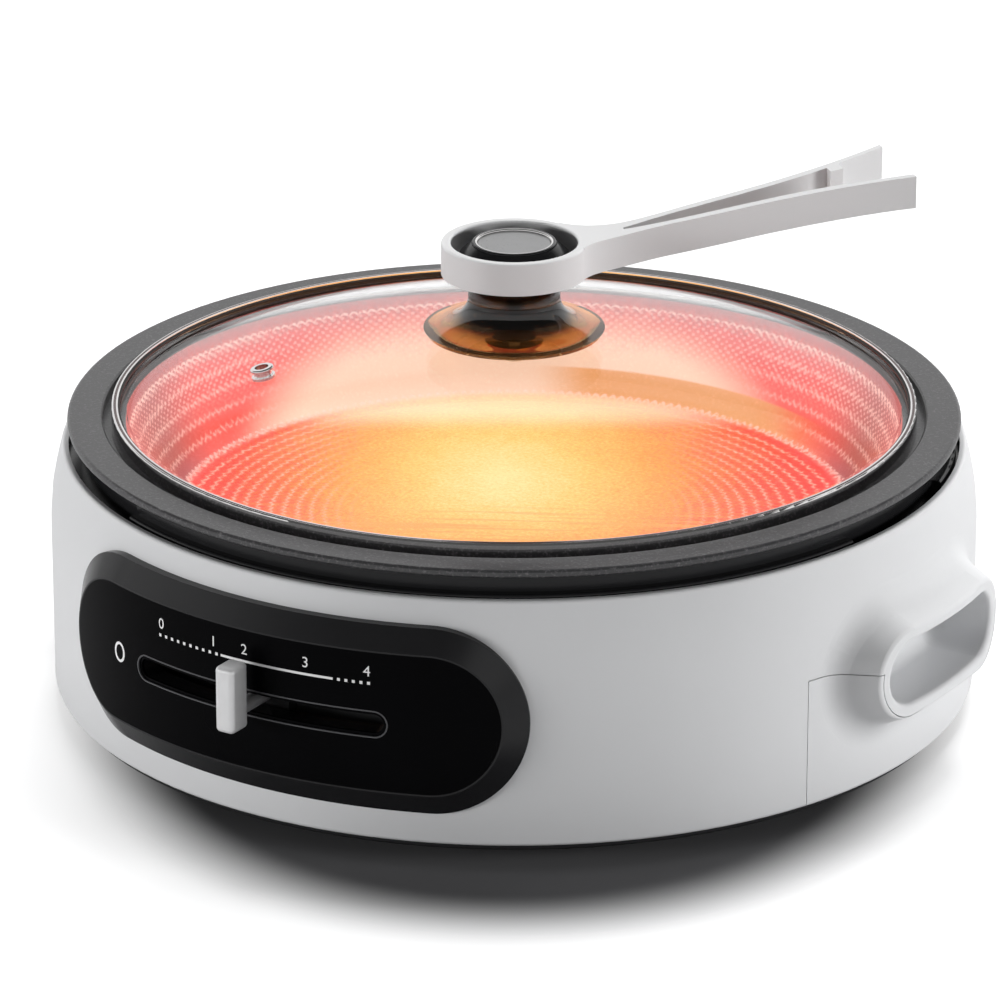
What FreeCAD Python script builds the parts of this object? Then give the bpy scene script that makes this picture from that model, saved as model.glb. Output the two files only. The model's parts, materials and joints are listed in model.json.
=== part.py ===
import FreeCAD, Part
import math
import os

from FreeCAD import Vector

os.makedirs("parts", exist_ok=True)

# Electric hot pot: a round white base with two pocket handles and a control pod, a lift-out pan, a
# glass lid and the long lifter that turns on the lid's knob. Millimetres, +Z up. The origin is on
# the table under the middle of the pot. The control pod faces -Y and the handles are on +X and -X.

X_AXIS = Vector(1, 0, 0)
Y_AXIS = Vector(0, 1, 0)
Z_AXIS = Vector(0, 0, 1)
CENTRE = Vector(0, 0, 0)

# General clearances
seat_gap = 0.3              # between a part and the part that it rests on
seam_gap = 0.35             # open seam between two covers
run_gap = 0.5               # round anything that slides or turns
glue_gap = 0.05             # parts pressed or glued together
cut_over = 5.0              # how far a cutting tool passes the face it cuts
face_tol = 0.01             # how near an edge lies to the face that it is looked up by
edge_samples = 5            # places along an edge at which that is tried

# Body shell
body_r = 171.7              # outside of the straight wall
body_wall = 2.6
body_bottom_z = 8.0
body_top_z = 99.1
body_bulge_z = 67.6         # height where the wall starts to lean in
body_lean = 4.3             # how far the wall has leaned in at the top edge
body_top_round = 1.3
body_foot_round = 1.5
body_rim = 2.7              # from the top edge in to the opening for the collar and pan

# Handles
handle_z = 52.7
handle_proud = 13.4         # from the body's wall out to each handle's face, which curves with the wall
handle_half_width = 41.4
handle_half_height = 16.4
handle_lip = 4.2            # width of the lip round the pocket
handle_lip_round = 1.8
handle_root = 13.7          # from the body's wall in to the handle's root
handle_spread = 12.0        # growth of the handle all round, from its lip to its root
handle_sweep = 13.0         # radius of the sweep from the body's wall into the handle
handle_depth = 26.6
handle_floor_round = 6.0
handle_tub_wall = 2.0

# Side covers under the handles
cover_half_angle = 20.9     # degrees each side of the handle
cover_rise = 3.9            # from the handle's middle up to the cover's top edge

# Control pod
pod_z = 55.1
pod_half_height = 35.0
pod_half_angle = 33.65      # degrees, to the very end of the pod
pod_proud = 5.5             # from the body's wall out to the pod's face
pod_plug = 3.2              # from the body's wall in to the back of the plug that fills the window
pod_bevel = 8.3             # width of the bevel on the face side
pod_bevel_depth = 4.6
panel_thick = 1.6
panel_rim = 0.7             # rim of the pod left round the panel

# Slot and slider
slot_drop = 1.0             # of the slot's middle below the pod's
slot_half_height = 5.2
slot_recess = 0.6
slit_half_height = 3.5      # the narrower slit through which the stem passes
stem_r = 2.8
trim_width = 0.5
trim_proud = 0.1
slider_width = 7.9
slider_height = 25.0
slider_depth = 10.2
slider_round = 2.0
slider_lift = 6.0           # of the bar's middle above the stem
slider_standoff = 5.4       # from the panel to the back of the bar
slider_travel = 15.6        # degrees each way
carriage_gap = 1.9          # from the back of the plug to the carriage
carriage_thick = 5.0
carriage_half_height = 9.0
carriage_half_angle = 3.4
rail_thick = 3.0
rail_half_height = 14.0
rail_over = 2.4             # degrees of rail past the carriage at the end of its travel
rail_rib = 1.6              # height of the two ribs that guide the carriage
rail_lug_half_angle = 0.8

# Collar
collar_gap = 1.3            # between the collar's ledge and the body's opening
collar_ledge = 3.4          # width of the ledge
collar_ledge_rise = 0.9     # how far the ledge stands above the body's top edge
collar_wall = 2.5
collar_skirt = 1.7          # width of the skirt that hooks under the body's top
collar_skirt_drop = 4.3     # from the body's top edge down to the skirt
collar_skirt_thick = 2.7
collar_round = 1.2
notch_right_angle = 1.3     # middle of the finger notch over the right handle
notch_left_angle = -137.7   # middle of the finger notch left of the pod
notch_half_angle = 12.0
notch_left_half_angle = 22.0

# Pan
pan_overhang = 1.6          # how far the flange reaches past the collar's ledge
pan_flange = 13.0           # width of the flange
pan_flange_rise = 10.5      # from the body's top edge up to the flange
pan_flange_thick = 3.0
pan_ledge_drop = 4.5        # from the flange down to the ledge that carries the lid
pan_ledge = 8.5             # width of that ledge
pan_wall = 2.4
pan_lean = 15.5             # how far the wall leans in from the ledge to the floor
pan_depth = 37.5            # from the ledge down to the floor
pan_floor_thick = 3.0
pan_corner = 12.0
pan_edge_round = 1.3
pan_lip_bevel = 0.6

# Lid
lid_play = 3.3              # between the steel rim and the pan's flange
lid_rim_wall = 0.8
lid_rim_height = 7.8
lid_rim_land = 2.4          # width of the rim over the glass
lid_rim_round = 0.64
lid_rise = 22.4             # from the rim's top to the top of the glass in the middle
lid_edge = 5.7              # flat edge of the lid round the dome
lid_glass_thick = 4.0
seal_wall = 0.65
seal_lip = 0.8              # seal that shows inside the steel rim
vent_x = -76.7
vent_y = -52.5
vent_hole_r = 2.6
vent_barrel_r = 3.4
vent_flange_r = 4.4
vent_flange = 0.9
vent_round = 0.54

# Lid knob
knob_height = 38.6          # from the top of the glass
knob_disc_r = 13.5
knob_ring_wall = 2.05
knob_ring_height = 1.5
knob_disc_drop = 0.7        # the disc lies this much below the ring's top
knob_cap_r = 20.4
knob_cap_slope = 5.0        # height of the cap's sloping top
knob_cap_side = 5.0         # height of the cap's straight side
knob_neck_r = 17.0
knob_collar_r = 19.8
knob_collar = 1.5
knob_cap_round = 1.5
knob_ring_round = 0.5
knob_disc_bevel = 0.3
knob_gasket = 1.2
knob_skirt_r = 33.4
knob_skirt_lift = 4.6       # from the top of the glass up to the skirt's edge
knob_skirt_edge = 1.6
knob_skirt_height = 13.4
knob_flare = [(0.08, 0.55), (0.36, 0.22), (0.74, 0.05)]     # shares of the skirt's spread and height
knob_flare_inside = [(0.70, 0.05), (0.26, 0.25)]
knob_wall = 3.0
knob_core_r = 7.0
knob_screw_r = 2.5
knob_washer_r = 11.0
knob_washer = 1.2
knob_screw_head_r = 5.0
knob_screw_head = 3.0
knob_screw_round = 1.2
knob_screw_slot = 1.2
knob_gasket_lap = 1.0       # the gasket is this much wider than the knob's core

# Lid lifter
lifter_play = 2.9           # between the ring and the knob's cap
lifter_wall = 3.6
lifter_height = 12.2
lifter_lip_play = 1.6       # between the ring's inner lip and the knob's neck
lifter_lip = 1.8
lifter_angle = 48.8         # heading of the arms, degrees from +X
lifter_rise = 8.6           # degrees that the arms climb
lifter_rise_x = 38.0        # where they start to climb
lifter_rise_bend = 9.0      # how far the bend into the climb reaches each way
lifter_reach = 149.0        # from the knob's axis to the tips
lifter_root = 4.9           # from the ring's outside in to the arms' root
lifter_shoulder_x = 27.0    # where the ring has swept half way into the arms
lifter_shoulder_half = 11.1
lifter_waist_x = 35.0
lifter_waist_half = 7.9
lifter_neck_x = 48.0
lifter_neck_half = 6.2
lifter_flare_x = 92.0       # where the arms start to spread apart
lifter_flare_half = 9.1
lifter_mid_half = 12.7      # half way from there to the tips
lifter_tip_half = 20.0
lifter_crotch_x = 42.0      # where the gap between the arms starts
lifter_crotch_half = 0.7
lifter_arm = 3.2            # thickness of an arm at its tip
lifter_mid_arm = 3.6        # the same further in
lifter_stop_x = 127.0
lifter_stop = 4.0
lifter_stop_width = 5.0
lifter_edge_round = 0.9

# Base plate, feet and screws
base_inset = 2.6            # of the flange's edge from the body's wall
base_sole_inset = 16.0      # of the lower, flat part of the plate
base_bottom_z = 2.5
base_wall = 2.2
base_edge = 0.8             # bevel round the bottom of the plate and of its flange
base_rib = 2.6
base_rib_rise = 4.0         # how far the rib stands inside the body
foot_r = 10.0
foot_place_r = 132.0
foot_stud_r = 3.0
foot_count = 4
screw_inset = 10.7          # of the screws from the body's wall
screw_r = 1.8
screw_head_r = 3.6
screw_head = 1.6
screw_slot = 1.0            # width of the cross in each head
screw_count = 6
boss_r = 4.0
boss_height = 18.7
foot_edge_round = 0.8
vent_slot_count = 24
vent_slot_r = 70.0
vent_slot_length = 26.0
vent_slot_width = 3.0

# Heater inside the base
plate_r = 112.0
plate_thick = 8.0
tube_ring_r = 78.0
tube_r = 4.0
tube_gap_angle = 40.0
tube_sink = 1.0             # height of the tube's middle above the plate's underside
reflector_gap = 2.05        # between the reflector and the regulator
reflector_wall = 0.8
reflector_floor_z = 20.0
reflector_lap = 4.5         # how far the reflector's flange reaches under the collar
bracket_count = 3
bracket_place_r = 95.0
bracket_width = 14.0
bracket_thick = 2.0
bracket_foot = 12.0
post_count = 3
post_place_r = 112.0
post_r = 6.0
post_first_angle = 0.0
bracket_first_angle = 60.0
cold_pin_r = 2.0
cold_pin_bottom_z = 12.0
bush_r = 4.6
bush_height = 3.5
thermostat_r = 8.5
thermostat_height = 9.0
thermostat_lug_reach = 13.6
thermostat_lug_width = 6.0
thermostat_lug = 0.8
soft_edge = 1.0             # round on the heater plate and the thermostat's can
thermostat_x = -38.0
thermostat_y = -20.0
fuse_r = 2.2
fuse_length = 22.0
fuse_y = 34.0
regulator_over = 3.0        # degrees of regulator past the finger at the end of its travel
regulator_half_height = 9.0
regulator_depth = 5.6
finger_r = 1.6
finger_slit_half_height = 2.4
finger_reach = 3.0          # how far the finger enters the regulator
terminal_width = 64.0
terminal_depth = 14.0
terminal_height = 12.0
terminal_inset = 63.7       # of the terminal block's middle from the body's wall

# Power inlet at the back
inlet_z = 33.6
inlet_half_width = 15.0
inlet_half_height = 11.0
inlet_flange = 2.0
inlet_flange_lap = 3.0
inlet_wall = 2.0
inlet_depth = 14.0
inlet_proud = 1.7
inlet_corner = 3.0
pin_width = 2.0
pin_height = 4.0
pin_length = 8.0
pin_tail = 4.0
pin_pitch = 7.0

# Wiring
wire_r = 1.6
wire_z = 14.2
wire_bend = 9.0
wire_spread = 9.0

# Values that follow from the sizes above
body_top_r = body_r - body_lean
body_mouth_r = body_top_r - body_rim
handle_face_r = body_r + handle_proud
handle_root_x = body_r - handle_root
handle_floor_x = handle_face_r - handle_depth
cover_top_z = handle_z + cover_rise
pod_face_r = body_r + pod_proud
pod_plug_r = body_r - pod_plug
pod_end_angle = pod_half_angle - math.degrees(pod_half_height / body_r)
slot_z = pod_z - slot_drop
slot_end_angle = slider_travel + math.degrees(run_gap / pod_face_r)
window_half_height = pod_half_height - pod_bevel
panel_half_height = window_half_height - panel_rim
carriage_r_out = pod_plug_r - carriage_gap
carriage_r_in = carriage_r_out - carriage_thick
rail_r_out = carriage_r_in - seat_gap
rail_r_in = rail_r_out - rail_thick
rail_half_angle = slider_travel + carriage_half_angle + rail_over + 2 * rail_lug_half_angle
regulator_r_out = rail_r_in - glue_gap
regulator_r_in = regulator_r_out - regulator_depth
regulator_half_angle = slider_travel + regulator_over

collar_ledge_r = body_mouth_r - collar_gap
collar_step_r = collar_ledge_r - collar_ledge
collar_in_r = collar_step_r - collar_wall
collar_skirt_r = collar_ledge_r + collar_skirt
collar_ledge_z = body_top_z + collar_ledge_rise
collar_skirt_z = body_top_z - collar_skirt_drop
collar_bottom_z = collar_skirt_z - collar_skirt_thick

pan_flange_r = collar_ledge_r + pan_overhang
pan_flange_in_r = pan_flange_r - pan_flange
pan_ledge_in_r = pan_flange_in_r - pan_ledge
pan_floor_r = pan_ledge_in_r - pan_lean
pan_flange_top_z = body_top_z + pan_flange_rise
pan_ledge_z = pan_flange_top_z - pan_ledge_drop
pan_floor_z = pan_ledge_z - pan_depth
pan_under_z = pan_floor_z - pan_floor_thick
collar_top_z = pan_flange_top_z - pan_flange_thick - seat_gap

lid_r = pan_flange_in_r - lid_play
lid_dome_r = lid_r - lid_edge
lid_seat_z = pan_ledge_z + seat_gap
lid_rim_top_z = lid_seat_z + lid_rim_height
lid_apex_z = lid_rim_top_z + lid_rise
knob_top_z = lid_apex_z + knob_height
knob_ring_r = knob_disc_r + glue_gap + knob_ring_wall
knob_cap_shoulder_z = knob_top_z - knob_cap_slope
knob_cap_bottom_z = knob_cap_shoulder_z - knob_cap_side
knob_skirt_edge_z = lid_apex_z + knob_skirt_lift
knob_neck_z = knob_skirt_edge_z + knob_skirt_height
lifter_r = knob_cap_r + lifter_play + lifter_wall
lifter_lip_r = knob_neck_r + lifter_lip_play
lifter_root_x = lifter_r - lifter_root
lifter_mid_x = (lifter_flare_x + lifter_reach) / 2
lifter_bottom_z = knob_top_z - lifter_height
knob_collar_z = lifter_bottom_z - seat_gap

base_r = body_r - base_inset
base_sole_r = body_r - base_sole_inset
base_top_z = base_bottom_z + base_wall
base_flange_top_z = body_bottom_z - seat_gap
base_flange_z = base_flange_top_z - base_wall
base_rib_top_z = body_bottom_z + base_rib_rise
boss_top_z = body_bottom_z + boss_height
screw_seat_z = base_flange_z + screw_head / 2
screw_place_r = body_r - screw_inset
reflector_r = regulator_r_in - reflector_gap
reflector_flange_r = collar_in_r + reflector_lap
reflector_top_z = collar_bottom_z - seat_gap
plate_top_z = pan_under_z - seat_gap
plate_bottom_z = plate_top_z - plate_thick
inlet_face_y = body_r + inlet_proud
terminal_y = body_r - terminal_inset


# Shape helpers

def save(name, shape):
    shape.exportStep("parts/" + name + ".step")


def point(r, z):
    return Vector(r, 0, z)


def polar(r, angle, z=0.0):
    return Vector(r * math.cos(math.radians(angle)), r * math.sin(math.radians(angle)), z)


def revolve(points):
    """Turn a closed outline in the XZ plane, straight from point to point, about the Z axis."""
    wire = Part.makePolygon([point(r, z) for r, z in points] + [point(*points[0])])
    return Part.Face(wire).revolve(CENTRE, Z_AXIS, 360)


def revolve_edges(edges):
    return Part.Face(Part.Wire(edges)).revolve(CENTRE, Z_AXIS, 360)


def line(a, b):
    return Part.LineSegment(a, b).toShape()


def arc(a, middle, b):
    return Part.Arc(a, middle, b).toShape()


def disc(r, z_low, z_high, place=CENTRE):
    return Part.makeCylinder(r, z_high - z_low, place + Vector(0, 0, z_low))


def tube(r_in, r_out, z_low, z_high):
    return disc(r_out, z_low, z_high).cut(disc(r_in, z_low - cut_over, z_high + cut_over))


def box(centre, size):
    corner = centre - size * 0.5
    return Part.makeBox(size.x, size.y, size.z, corner)


def wedge(half_angle, middle_angle, r, z_low, z_high):
    """A pie slice about the Z axis."""
    start = polar(r, middle_angle - half_angle, z_low)
    middle = polar(r, middle_angle, z_low)
    end = polar(r, middle_angle + half_angle, z_low)
    tip = Vector(0, 0, z_low)
    face = Part.Face(Part.Wire([line(tip, start), arc(start, middle, end), line(end, tip)]))
    return face.extrude(Vector(0, 0, z_high - z_low))


def radial_cylinder(radius, angle, z, r_in, r_out):
    return Part.makeCylinder(radius, r_out - r_in, polar(r_in, angle, z), polar(1, angle))


def wrapped_slot(r_in, r_out, half_height, end_angle, middle_angle, z):
    """A bar with round ends bent round the Z axis; end_angle reaches to the middle of its ends."""
    sleeve = tube(r_in, r_out, z - half_height - cut_over, z + half_height + cut_over)
    slab = wedge(end_angle, middle_angle, r_out * 2, z - half_height, z + half_height)
    shape = sleeve.common(slab)
    for side in (-1, 1):
        end = radial_cylinder(half_height, middle_angle + side * end_angle, z, r_in / 2, r_out + cut_over)
        shape = shape.fuse(sleeve.common(end))
    return shape.removeSplitter()


def pill_wire(x, half_width, half_height, z):
    """A pill outline standing in the plane X = x, long along Y."""
    flat = half_width - half_height
    top = z + half_height
    low = z - half_height
    return Part.Wire([
        line(Vector(x, -flat, low), Vector(x, flat, low)),
        arc(Vector(x, flat, low), Vector(x, half_width, z), Vector(x, flat, top)),
        line(Vector(x, flat, top), Vector(x, -flat, top)),
        arc(Vector(x, -flat, top), Vector(x, -half_width, z), Vector(x, -flat, low)),
    ])


def pill_prism(x_low, x_high, half_width, half_height, z):
    face = Part.Face(pill_wire(x_low, half_width, half_height, z))
    return face.extrude(Vector(x_high - x_low, 0, 0))


def turned(shape, angle):
    copy = shape.copy()
    copy.rotate(CENTRE, Z_AXIS, angle)
    return copy


def group(shapes):
    return Part.makeCompound(shapes)


# Body shell

def body_outline(inset, bottom_z, top_z):
    """The outside of the body, moved inward by inset, as a solid."""
    straight_r = body_r - inset
    lean = body_r - body_top_r
    lean_height = body_top_z - body_top_round - body_bulge_z
    arc_r = (lean_height ** 2 + lean ** 2) / (2 * lean)
    arc_centre = point(body_r - arc_r, body_bulge_z)
    r = arc_r - inset

    def on_arc(z):
        rise = z - body_bulge_z
        return point(arc_centre.x + math.sqrt(r ** 2 - rise ** 2), z)

    low = point(straight_r, bottom_z)
    start = point(straight_r, body_bulge_z)
    middle = on_arc((body_bulge_z + top_z) / 2)
    end = on_arc(top_z)
    return revolve_edges([
        line(point(0, bottom_z), low),
        line(low, start),
        arc(start, middle, end),
        line(end, point(0, top_z)),
        line(point(0, top_z), point(0, bottom_z)),
    ])


def edges_at_height(shape, z, r_low=-math.inf):
    found = []
    for edge in shape.Edges:
        bounds = edge.BoundBox
        if abs(bounds.ZMin - z) < face_tol and abs(bounds.ZMax - z) < face_tol and bounds.XMax > r_low:
            found.append(edge)
    return found


def radius_of(vertex_point):
    return math.hypot(vertex_point.x, vertex_point.y)


def face_edges(shape, r):
    """The edges that lie wholly at radius r from the Z axis."""
    found = []
    for edge in shape.Edges:
        samples = edge.discretize(edge_samples)
        if all(abs(radius_of(sample) - r) < face_tol * 2 for sample in samples):
            found.append(edge)
    return found


def handle_horn():
    """The tapered stub that carries a handle's lip, on the +X side."""
    tip_x = handle_face_r + cut_over
    slope = handle_spread / (handle_face_r - handle_root_x)
    root_r = handle_half_height + handle_spread
    tip_r = handle_half_height - slope * cut_over
    flat = handle_half_width - handle_half_height
    root = Vector(handle_root_x, -flat, handle_z)
    tip = Vector(tip_x, -flat, handle_z)
    corners = [root - Z_AXIS * root_r, tip - Z_AXIS * tip_r, tip + Z_AXIS * tip_r, root + Z_AXIS * root_r]
    stub = Part.Face(Part.makePolygon(corners + corners[:1])).extrude(Vector(0, flat * 2, 0))
    for side in (-1, 1):
        end_place = Vector(handle_root_x, side * flat, handle_z)
        stub = stub.fuse(Part.makeCone(root_r, tip_r, tip_x - handle_root_x, end_place, X_AXIS))
    within = turned(disc(handle_face_r, body_bottom_z, body_top_z), 90)
    return stub.removeSplitter().common(within)


def horn_root_edges(shape):
    """The edges where the two stubs leave the body's wall."""
    found = []
    for edge in shape.Edges:
        bounds = edge.BoundBox
        on_wall = all(radius_of(sample) < body_r + face_tol for sample in edge.discretize(edge_samples))
        slanting = bounds.YLength > face_tol and bounds.ZLength > face_tol
        if on_wall and slanting and bounds.ZMin > body_bottom_z + cut_over:
            found.append(edge)
    return found


def flat_edges_at_x(shape, x):
    edges = shape.Edges
    return [e for e in edges if abs(e.BoundBox.XMin - x) < face_tol and abs(e.BoundBox.XMax - x) < face_tol]


def body_block():
    """The body and its handles as one solid lump, before it is hollowed."""
    block = body_outline(0, body_bottom_z, body_top_z)
    for angle in (0, 180):
        block = block.fuse(turned(handle_horn(), angle))
    block = block.makeFillet(handle_sweep, horn_root_edges(block))
    block = block.makeFillet(handle_lip_round, face_edges(block, handle_face_r))
    for angle in (0, 180):
        block = block.cut(turned(handle_pocket(), angle))
    pocket_half_width = handle_half_width - handle_lip
    rims = face_edges(block, handle_face_r)
    mouths = [edge for edge in rims if edge.BoundBox.YMax < pocket_half_width + face_tol]
    block = block.makeFillet(handle_lip_round, mouths)
    block = block.makeFillet(body_top_round, edges_at_height(block, body_top_z))
    return block.makeFillet(body_foot_round, edges_at_height(block, body_bottom_z))


def hollow(block):
    inside = body_outline(body_wall, body_bottom_z - cut_over, body_top_z - body_wall)
    mouth = disc(body_mouth_r, body_top_z - body_wall - cut_over, body_top_z + cut_over)
    return block.cut(inside).cut(mouth)


def handle_pocket():
    half_width = handle_half_width - handle_lip
    half_height = handle_half_height - handle_lip
    pocket = pill_prism(handle_floor_x, handle_face_r + cut_over, half_width, half_height, handle_z)
    return pocket.makeFillet(handle_floor_round, flat_edges_at_x(pocket, handle_floor_x))


def handle_tub():
    start = handle_floor_x - handle_tub_wall
    grow = handle_tub_wall - handle_lip
    tub = pill_prism(start, body_r, handle_half_width + grow, handle_half_height + grow, handle_z)
    return tub.makeFillet(handle_floor_round + handle_tub_wall, flat_edges_at_x(tub, start))


def cover_region(shrink):
    """The room that a side cover takes, on the +X side."""
    half_angle = cover_half_angle - math.degrees(shrink / body_r)
    low = body_bottom_z - cut_over
    room = wedge(half_angle, 0, handle_face_r + cut_over, low, cover_top_z - shrink)
    lip = pill_prism(handle_root_x - handle_depth, handle_face_r + cut_over,
                     handle_half_width + shrink + seam_gap, handle_half_height + shrink + seam_gap, handle_z)
    return room.cut(lip)


def side_cover(shell):
    return shell.common(cover_region(seam_gap))


def screw_places():
    step = 360.0 / screw_count
    return [polar(screw_place_r, step * (i + 0.5)) for i in range(screw_count)]


def body_shell(hollow_block):
    shell = hollow_block
    for angle in (0, 180):
        shell = shell.cut(turned(cover_region(0), angle))
        shell = shell.fuse(turned(handle_tub(), angle))
        shell = shell.cut(turned(handle_pocket(), angle))
    window = pod_slot(pod_plug_r - cut_over, pod_face_r, window_half_height)
    shell = shell.cut(window)
    web_low_z = base_rib_top_z + seat_gap
    web_length = body_r - body_wall / 2 - screw_place_r
    for place in screw_places():
        post = disc(boss_r, body_bottom_z, boss_top_z, place)
        heading = math.degrees(math.atan2(place.y, place.x))
        web = Part.makeBox(web_length, boss_r, boss_top_z - web_low_z,
                           Vector(screw_place_r, -boss_r / 2, web_low_z))
        shell = shell.fuse(post).fuse(turned(web, heading))
        pilot = disc(screw_r + glue_gap, body_bottom_z - cut_over, boss_top_z - boss_r, place)
        shell = shell.cut(pilot)
    shell = shell.cut(inlet_block(inlet_half_width + seam_gap, inlet_half_height + seam_gap,
                                  body_r - cut_over * 3, body_r + cut_over))
    return shell.removeSplitter()


# Base plate, feet and screws

def base_plate():
    rib_r = body_r - body_wall - seam_gap
    rib_in_r = rib_r - base_rib
    step_in_r = base_sole_r - base_wall
    plate = revolve([
        (0, base_bottom_z), (base_sole_r, base_bottom_z), (base_sole_r, base_flange_z),
        (base_r, base_flange_z), (base_r, base_flange_top_z), (rib_r, base_flange_top_z),
        (rib_r, base_rib_top_z), (rib_in_r, base_rib_top_z), (rib_in_r, base_flange_top_z),
        (step_in_r, base_flange_top_z), (step_in_r, base_top_z), (0, base_top_z),
    ])
    low_edges = edges_at_height(plate, base_bottom_z)
    low_edges += edges_at_height(plate, base_flange_z, base_r - face_tol)
    plate = plate.makeChamfer(base_edge, low_edges)
    for i in range(vent_slot_count):
        slot = box(Vector(vent_slot_r + vent_slot_length / 2, 0, base_bottom_z),
                   Vector(vent_slot_length, vent_slot_width, cut_over * 2))
        plate = plate.cut(turned(slot, (i + 0.5) * 360.0 / vent_slot_count))
    for place in screw_places():
        plate = plate.cut(disc(screw_r + run_gap, base_bottom_z, base_rib_top_z, place))
        plate = plate.cut(disc(screw_head_r + run_gap, base_bottom_z, screw_seat_z, place))
    for place in foot_places():
        plate = plate.cut(disc(foot_stud_r, base_bottom_z - cut_over, base_top_z + cut_over, place))
    return plate.removeSplitter()


def foot_places():
    return [polar(foot_place_r, (i + 0.5) * 360.0 / foot_count) for i in range(foot_count)]


def rubber_feet():
    feet = []
    for place in foot_places():
        foot = disc(foot_r, 0, base_bottom_z - glue_gap, place)
        foot = foot.makeFillet(foot_edge_round, edges_at_height(foot, 0))
        stud = disc(foot_stud_r - glue_gap, base_bottom_z - 2 * glue_gap, base_top_z, place)
        feet.append(foot.fuse(stud))
    return group(feet)


def base_screws():
    screws = []
    for place in screw_places():
        head_z = screw_seat_z - screw_head
        head = disc(screw_head_r, head_z, screw_seat_z - glue_gap, place)
        head = head.cut(cross_slot(place + Vector(0, 0, head_z)))
        shank = disc(screw_r, screw_seat_z - 2 * glue_gap, boss_top_z - boss_r - run_gap, place)
        screws.append(head.fuse(shank))
    return group(screws)


def cross_slot(place):
    """The cross in a screw's head, at the head's lower face."""
    along_x = box(place, Vector(screw_head_r, screw_slot, screw_head))
    along_y = box(place, Vector(screw_slot, screw_head_r, screw_head))
    return along_x.fuse(along_y)


# Control pod, panel, slider

def pod_slot(r_in, r_out, half_height):
    return wrapped_slot(r_in, r_out, half_height, pod_end_angle, -90, pod_z)


def slider_slot(r_in, r_out, half_height):
    return wrapped_slot(r_in, r_out, half_height, slot_end_angle, -90, slot_z)


def control_pod():
    block = pod_slot(body_top_r - cut_over, pod_face_r, pod_half_height)
    block = block.makeChamfer(pod_bevel_depth, pod_bevel, face_edges(block, pod_face_r))
    pod = block.cut(body_outline(-glue_gap, body_bottom_z, body_top_z))
    plug = pod_slot(pod_plug_r, body_r, window_half_height - seam_gap)
    pod = pod.fuse(plug)
    pod = pod.cut(pod_slot(pod_face_r - panel_thick - glue_gap, pod_face_r + cut_over,
                           panel_half_height + glue_gap))
    return pod.cut(slider_slot(pod_plug_r - cut_over, pod_face_r + cut_over, slit_half_height))


def control_panel():
    panel = pod_slot(pod_face_r - panel_thick, pod_face_r, panel_half_height)
    panel = panel.cut(slider_slot(pod_face_r - slot_recess, pod_face_r + cut_over, slot_half_height))
    return panel.cut(slider_slot(pod_plug_r, pod_face_r + cut_over, slit_half_height))


def slot_trim():
    outer = slider_slot(pod_face_r - slot_recess + glue_gap, pod_face_r + trim_proud,
                        slot_half_height - glue_gap)
    inner_half_height = slot_half_height - glue_gap - trim_width
    return outer.cut(slider_slot(pod_plug_r, pod_face_r + cut_over, inner_half_height))


def slider_knob():
    middle_r = pod_face_r + slider_standoff + slider_depth / 2
    bar = box(Vector(0, -middle_r, slot_z + slider_lift), Vector(slider_width, slider_depth, slider_height))
    bar = bar.makeFillet(slider_round, bar.Edges)
    socket = radial_cylinder(stem_r + glue_gap, -90, slot_z, pod_face_r, middle_r)
    return bar.cut(socket)


def slider_stem():
    tip_r = pod_face_r + slider_standoff + slider_depth / 2 - glue_gap
    return radial_cylinder(stem_r, -90, slot_z, carriage_r_out + glue_gap, tip_r)


def slider_carriage():
    z_low = slot_z - carriage_half_height
    z_high = slot_z + carriage_half_height
    block = tube(carriage_r_in, carriage_r_out, z_low, z_high)
    block = block.common(wedge(carriage_half_angle, -90, carriage_r_out * 2, z_low, z_high))
    finger_tip_r = regulator_r_out - finger_reach
    return block.fuse(radial_cylinder(finger_r, -90, slot_z, finger_tip_r, carriage_r_out))


def slider_rail():
    z_low = slot_z - rail_half_height
    z_high = slot_z + rail_half_height
    band = tube(rail_r_in, rail_r_out, z_low, z_high)
    guide = carriage_half_height + run_gap
    ribs = tube(rail_r_in, rail_r_out + rail_rib, z_low, z_high)
    ribs = ribs.cut(tube(rail_r_in - cut_over, rail_r_out + cut_over, slot_z - guide, slot_z + guide))
    slice_low = wedge(rail_half_angle, -90, rail_r_out * 2, z_low, z_high)
    rail = band.fuse(ribs).common(slice_low)
    rail = rail.cut(slider_slot(rail_r_in - cut_over, rail_r_out + cut_over, finger_slit_half_height))
    lug_r = pod_plug_r - seat_gap
    lug_ring = tube(rail_r_in, lug_r, z_low, z_high)
    for side in (-1, 1):
        middle = -90 + side * (rail_half_angle - rail_lug_half_angle)
        lug = lug_ring.common(wedge(rail_lug_half_angle, middle, lug_r * 2, z_low, z_high))
        rail = rail.fuse(lug)
    return rail.removeSplitter()


def temperature_regulator():
    z_low = slot_z - regulator_half_height
    z_high = slot_z + regulator_half_height
    body = tube(regulator_r_in, regulator_r_out, z_low, z_high)
    body = body.common(wedge(regulator_half_angle, -90, regulator_r_out * 2, z_low, z_high))
    groove_r = regulator_r_out - finger_reach - run_gap
    return body.cut(slider_slot(groove_r, rail_r_out, finger_slit_half_height))


# Collar, pan

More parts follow.
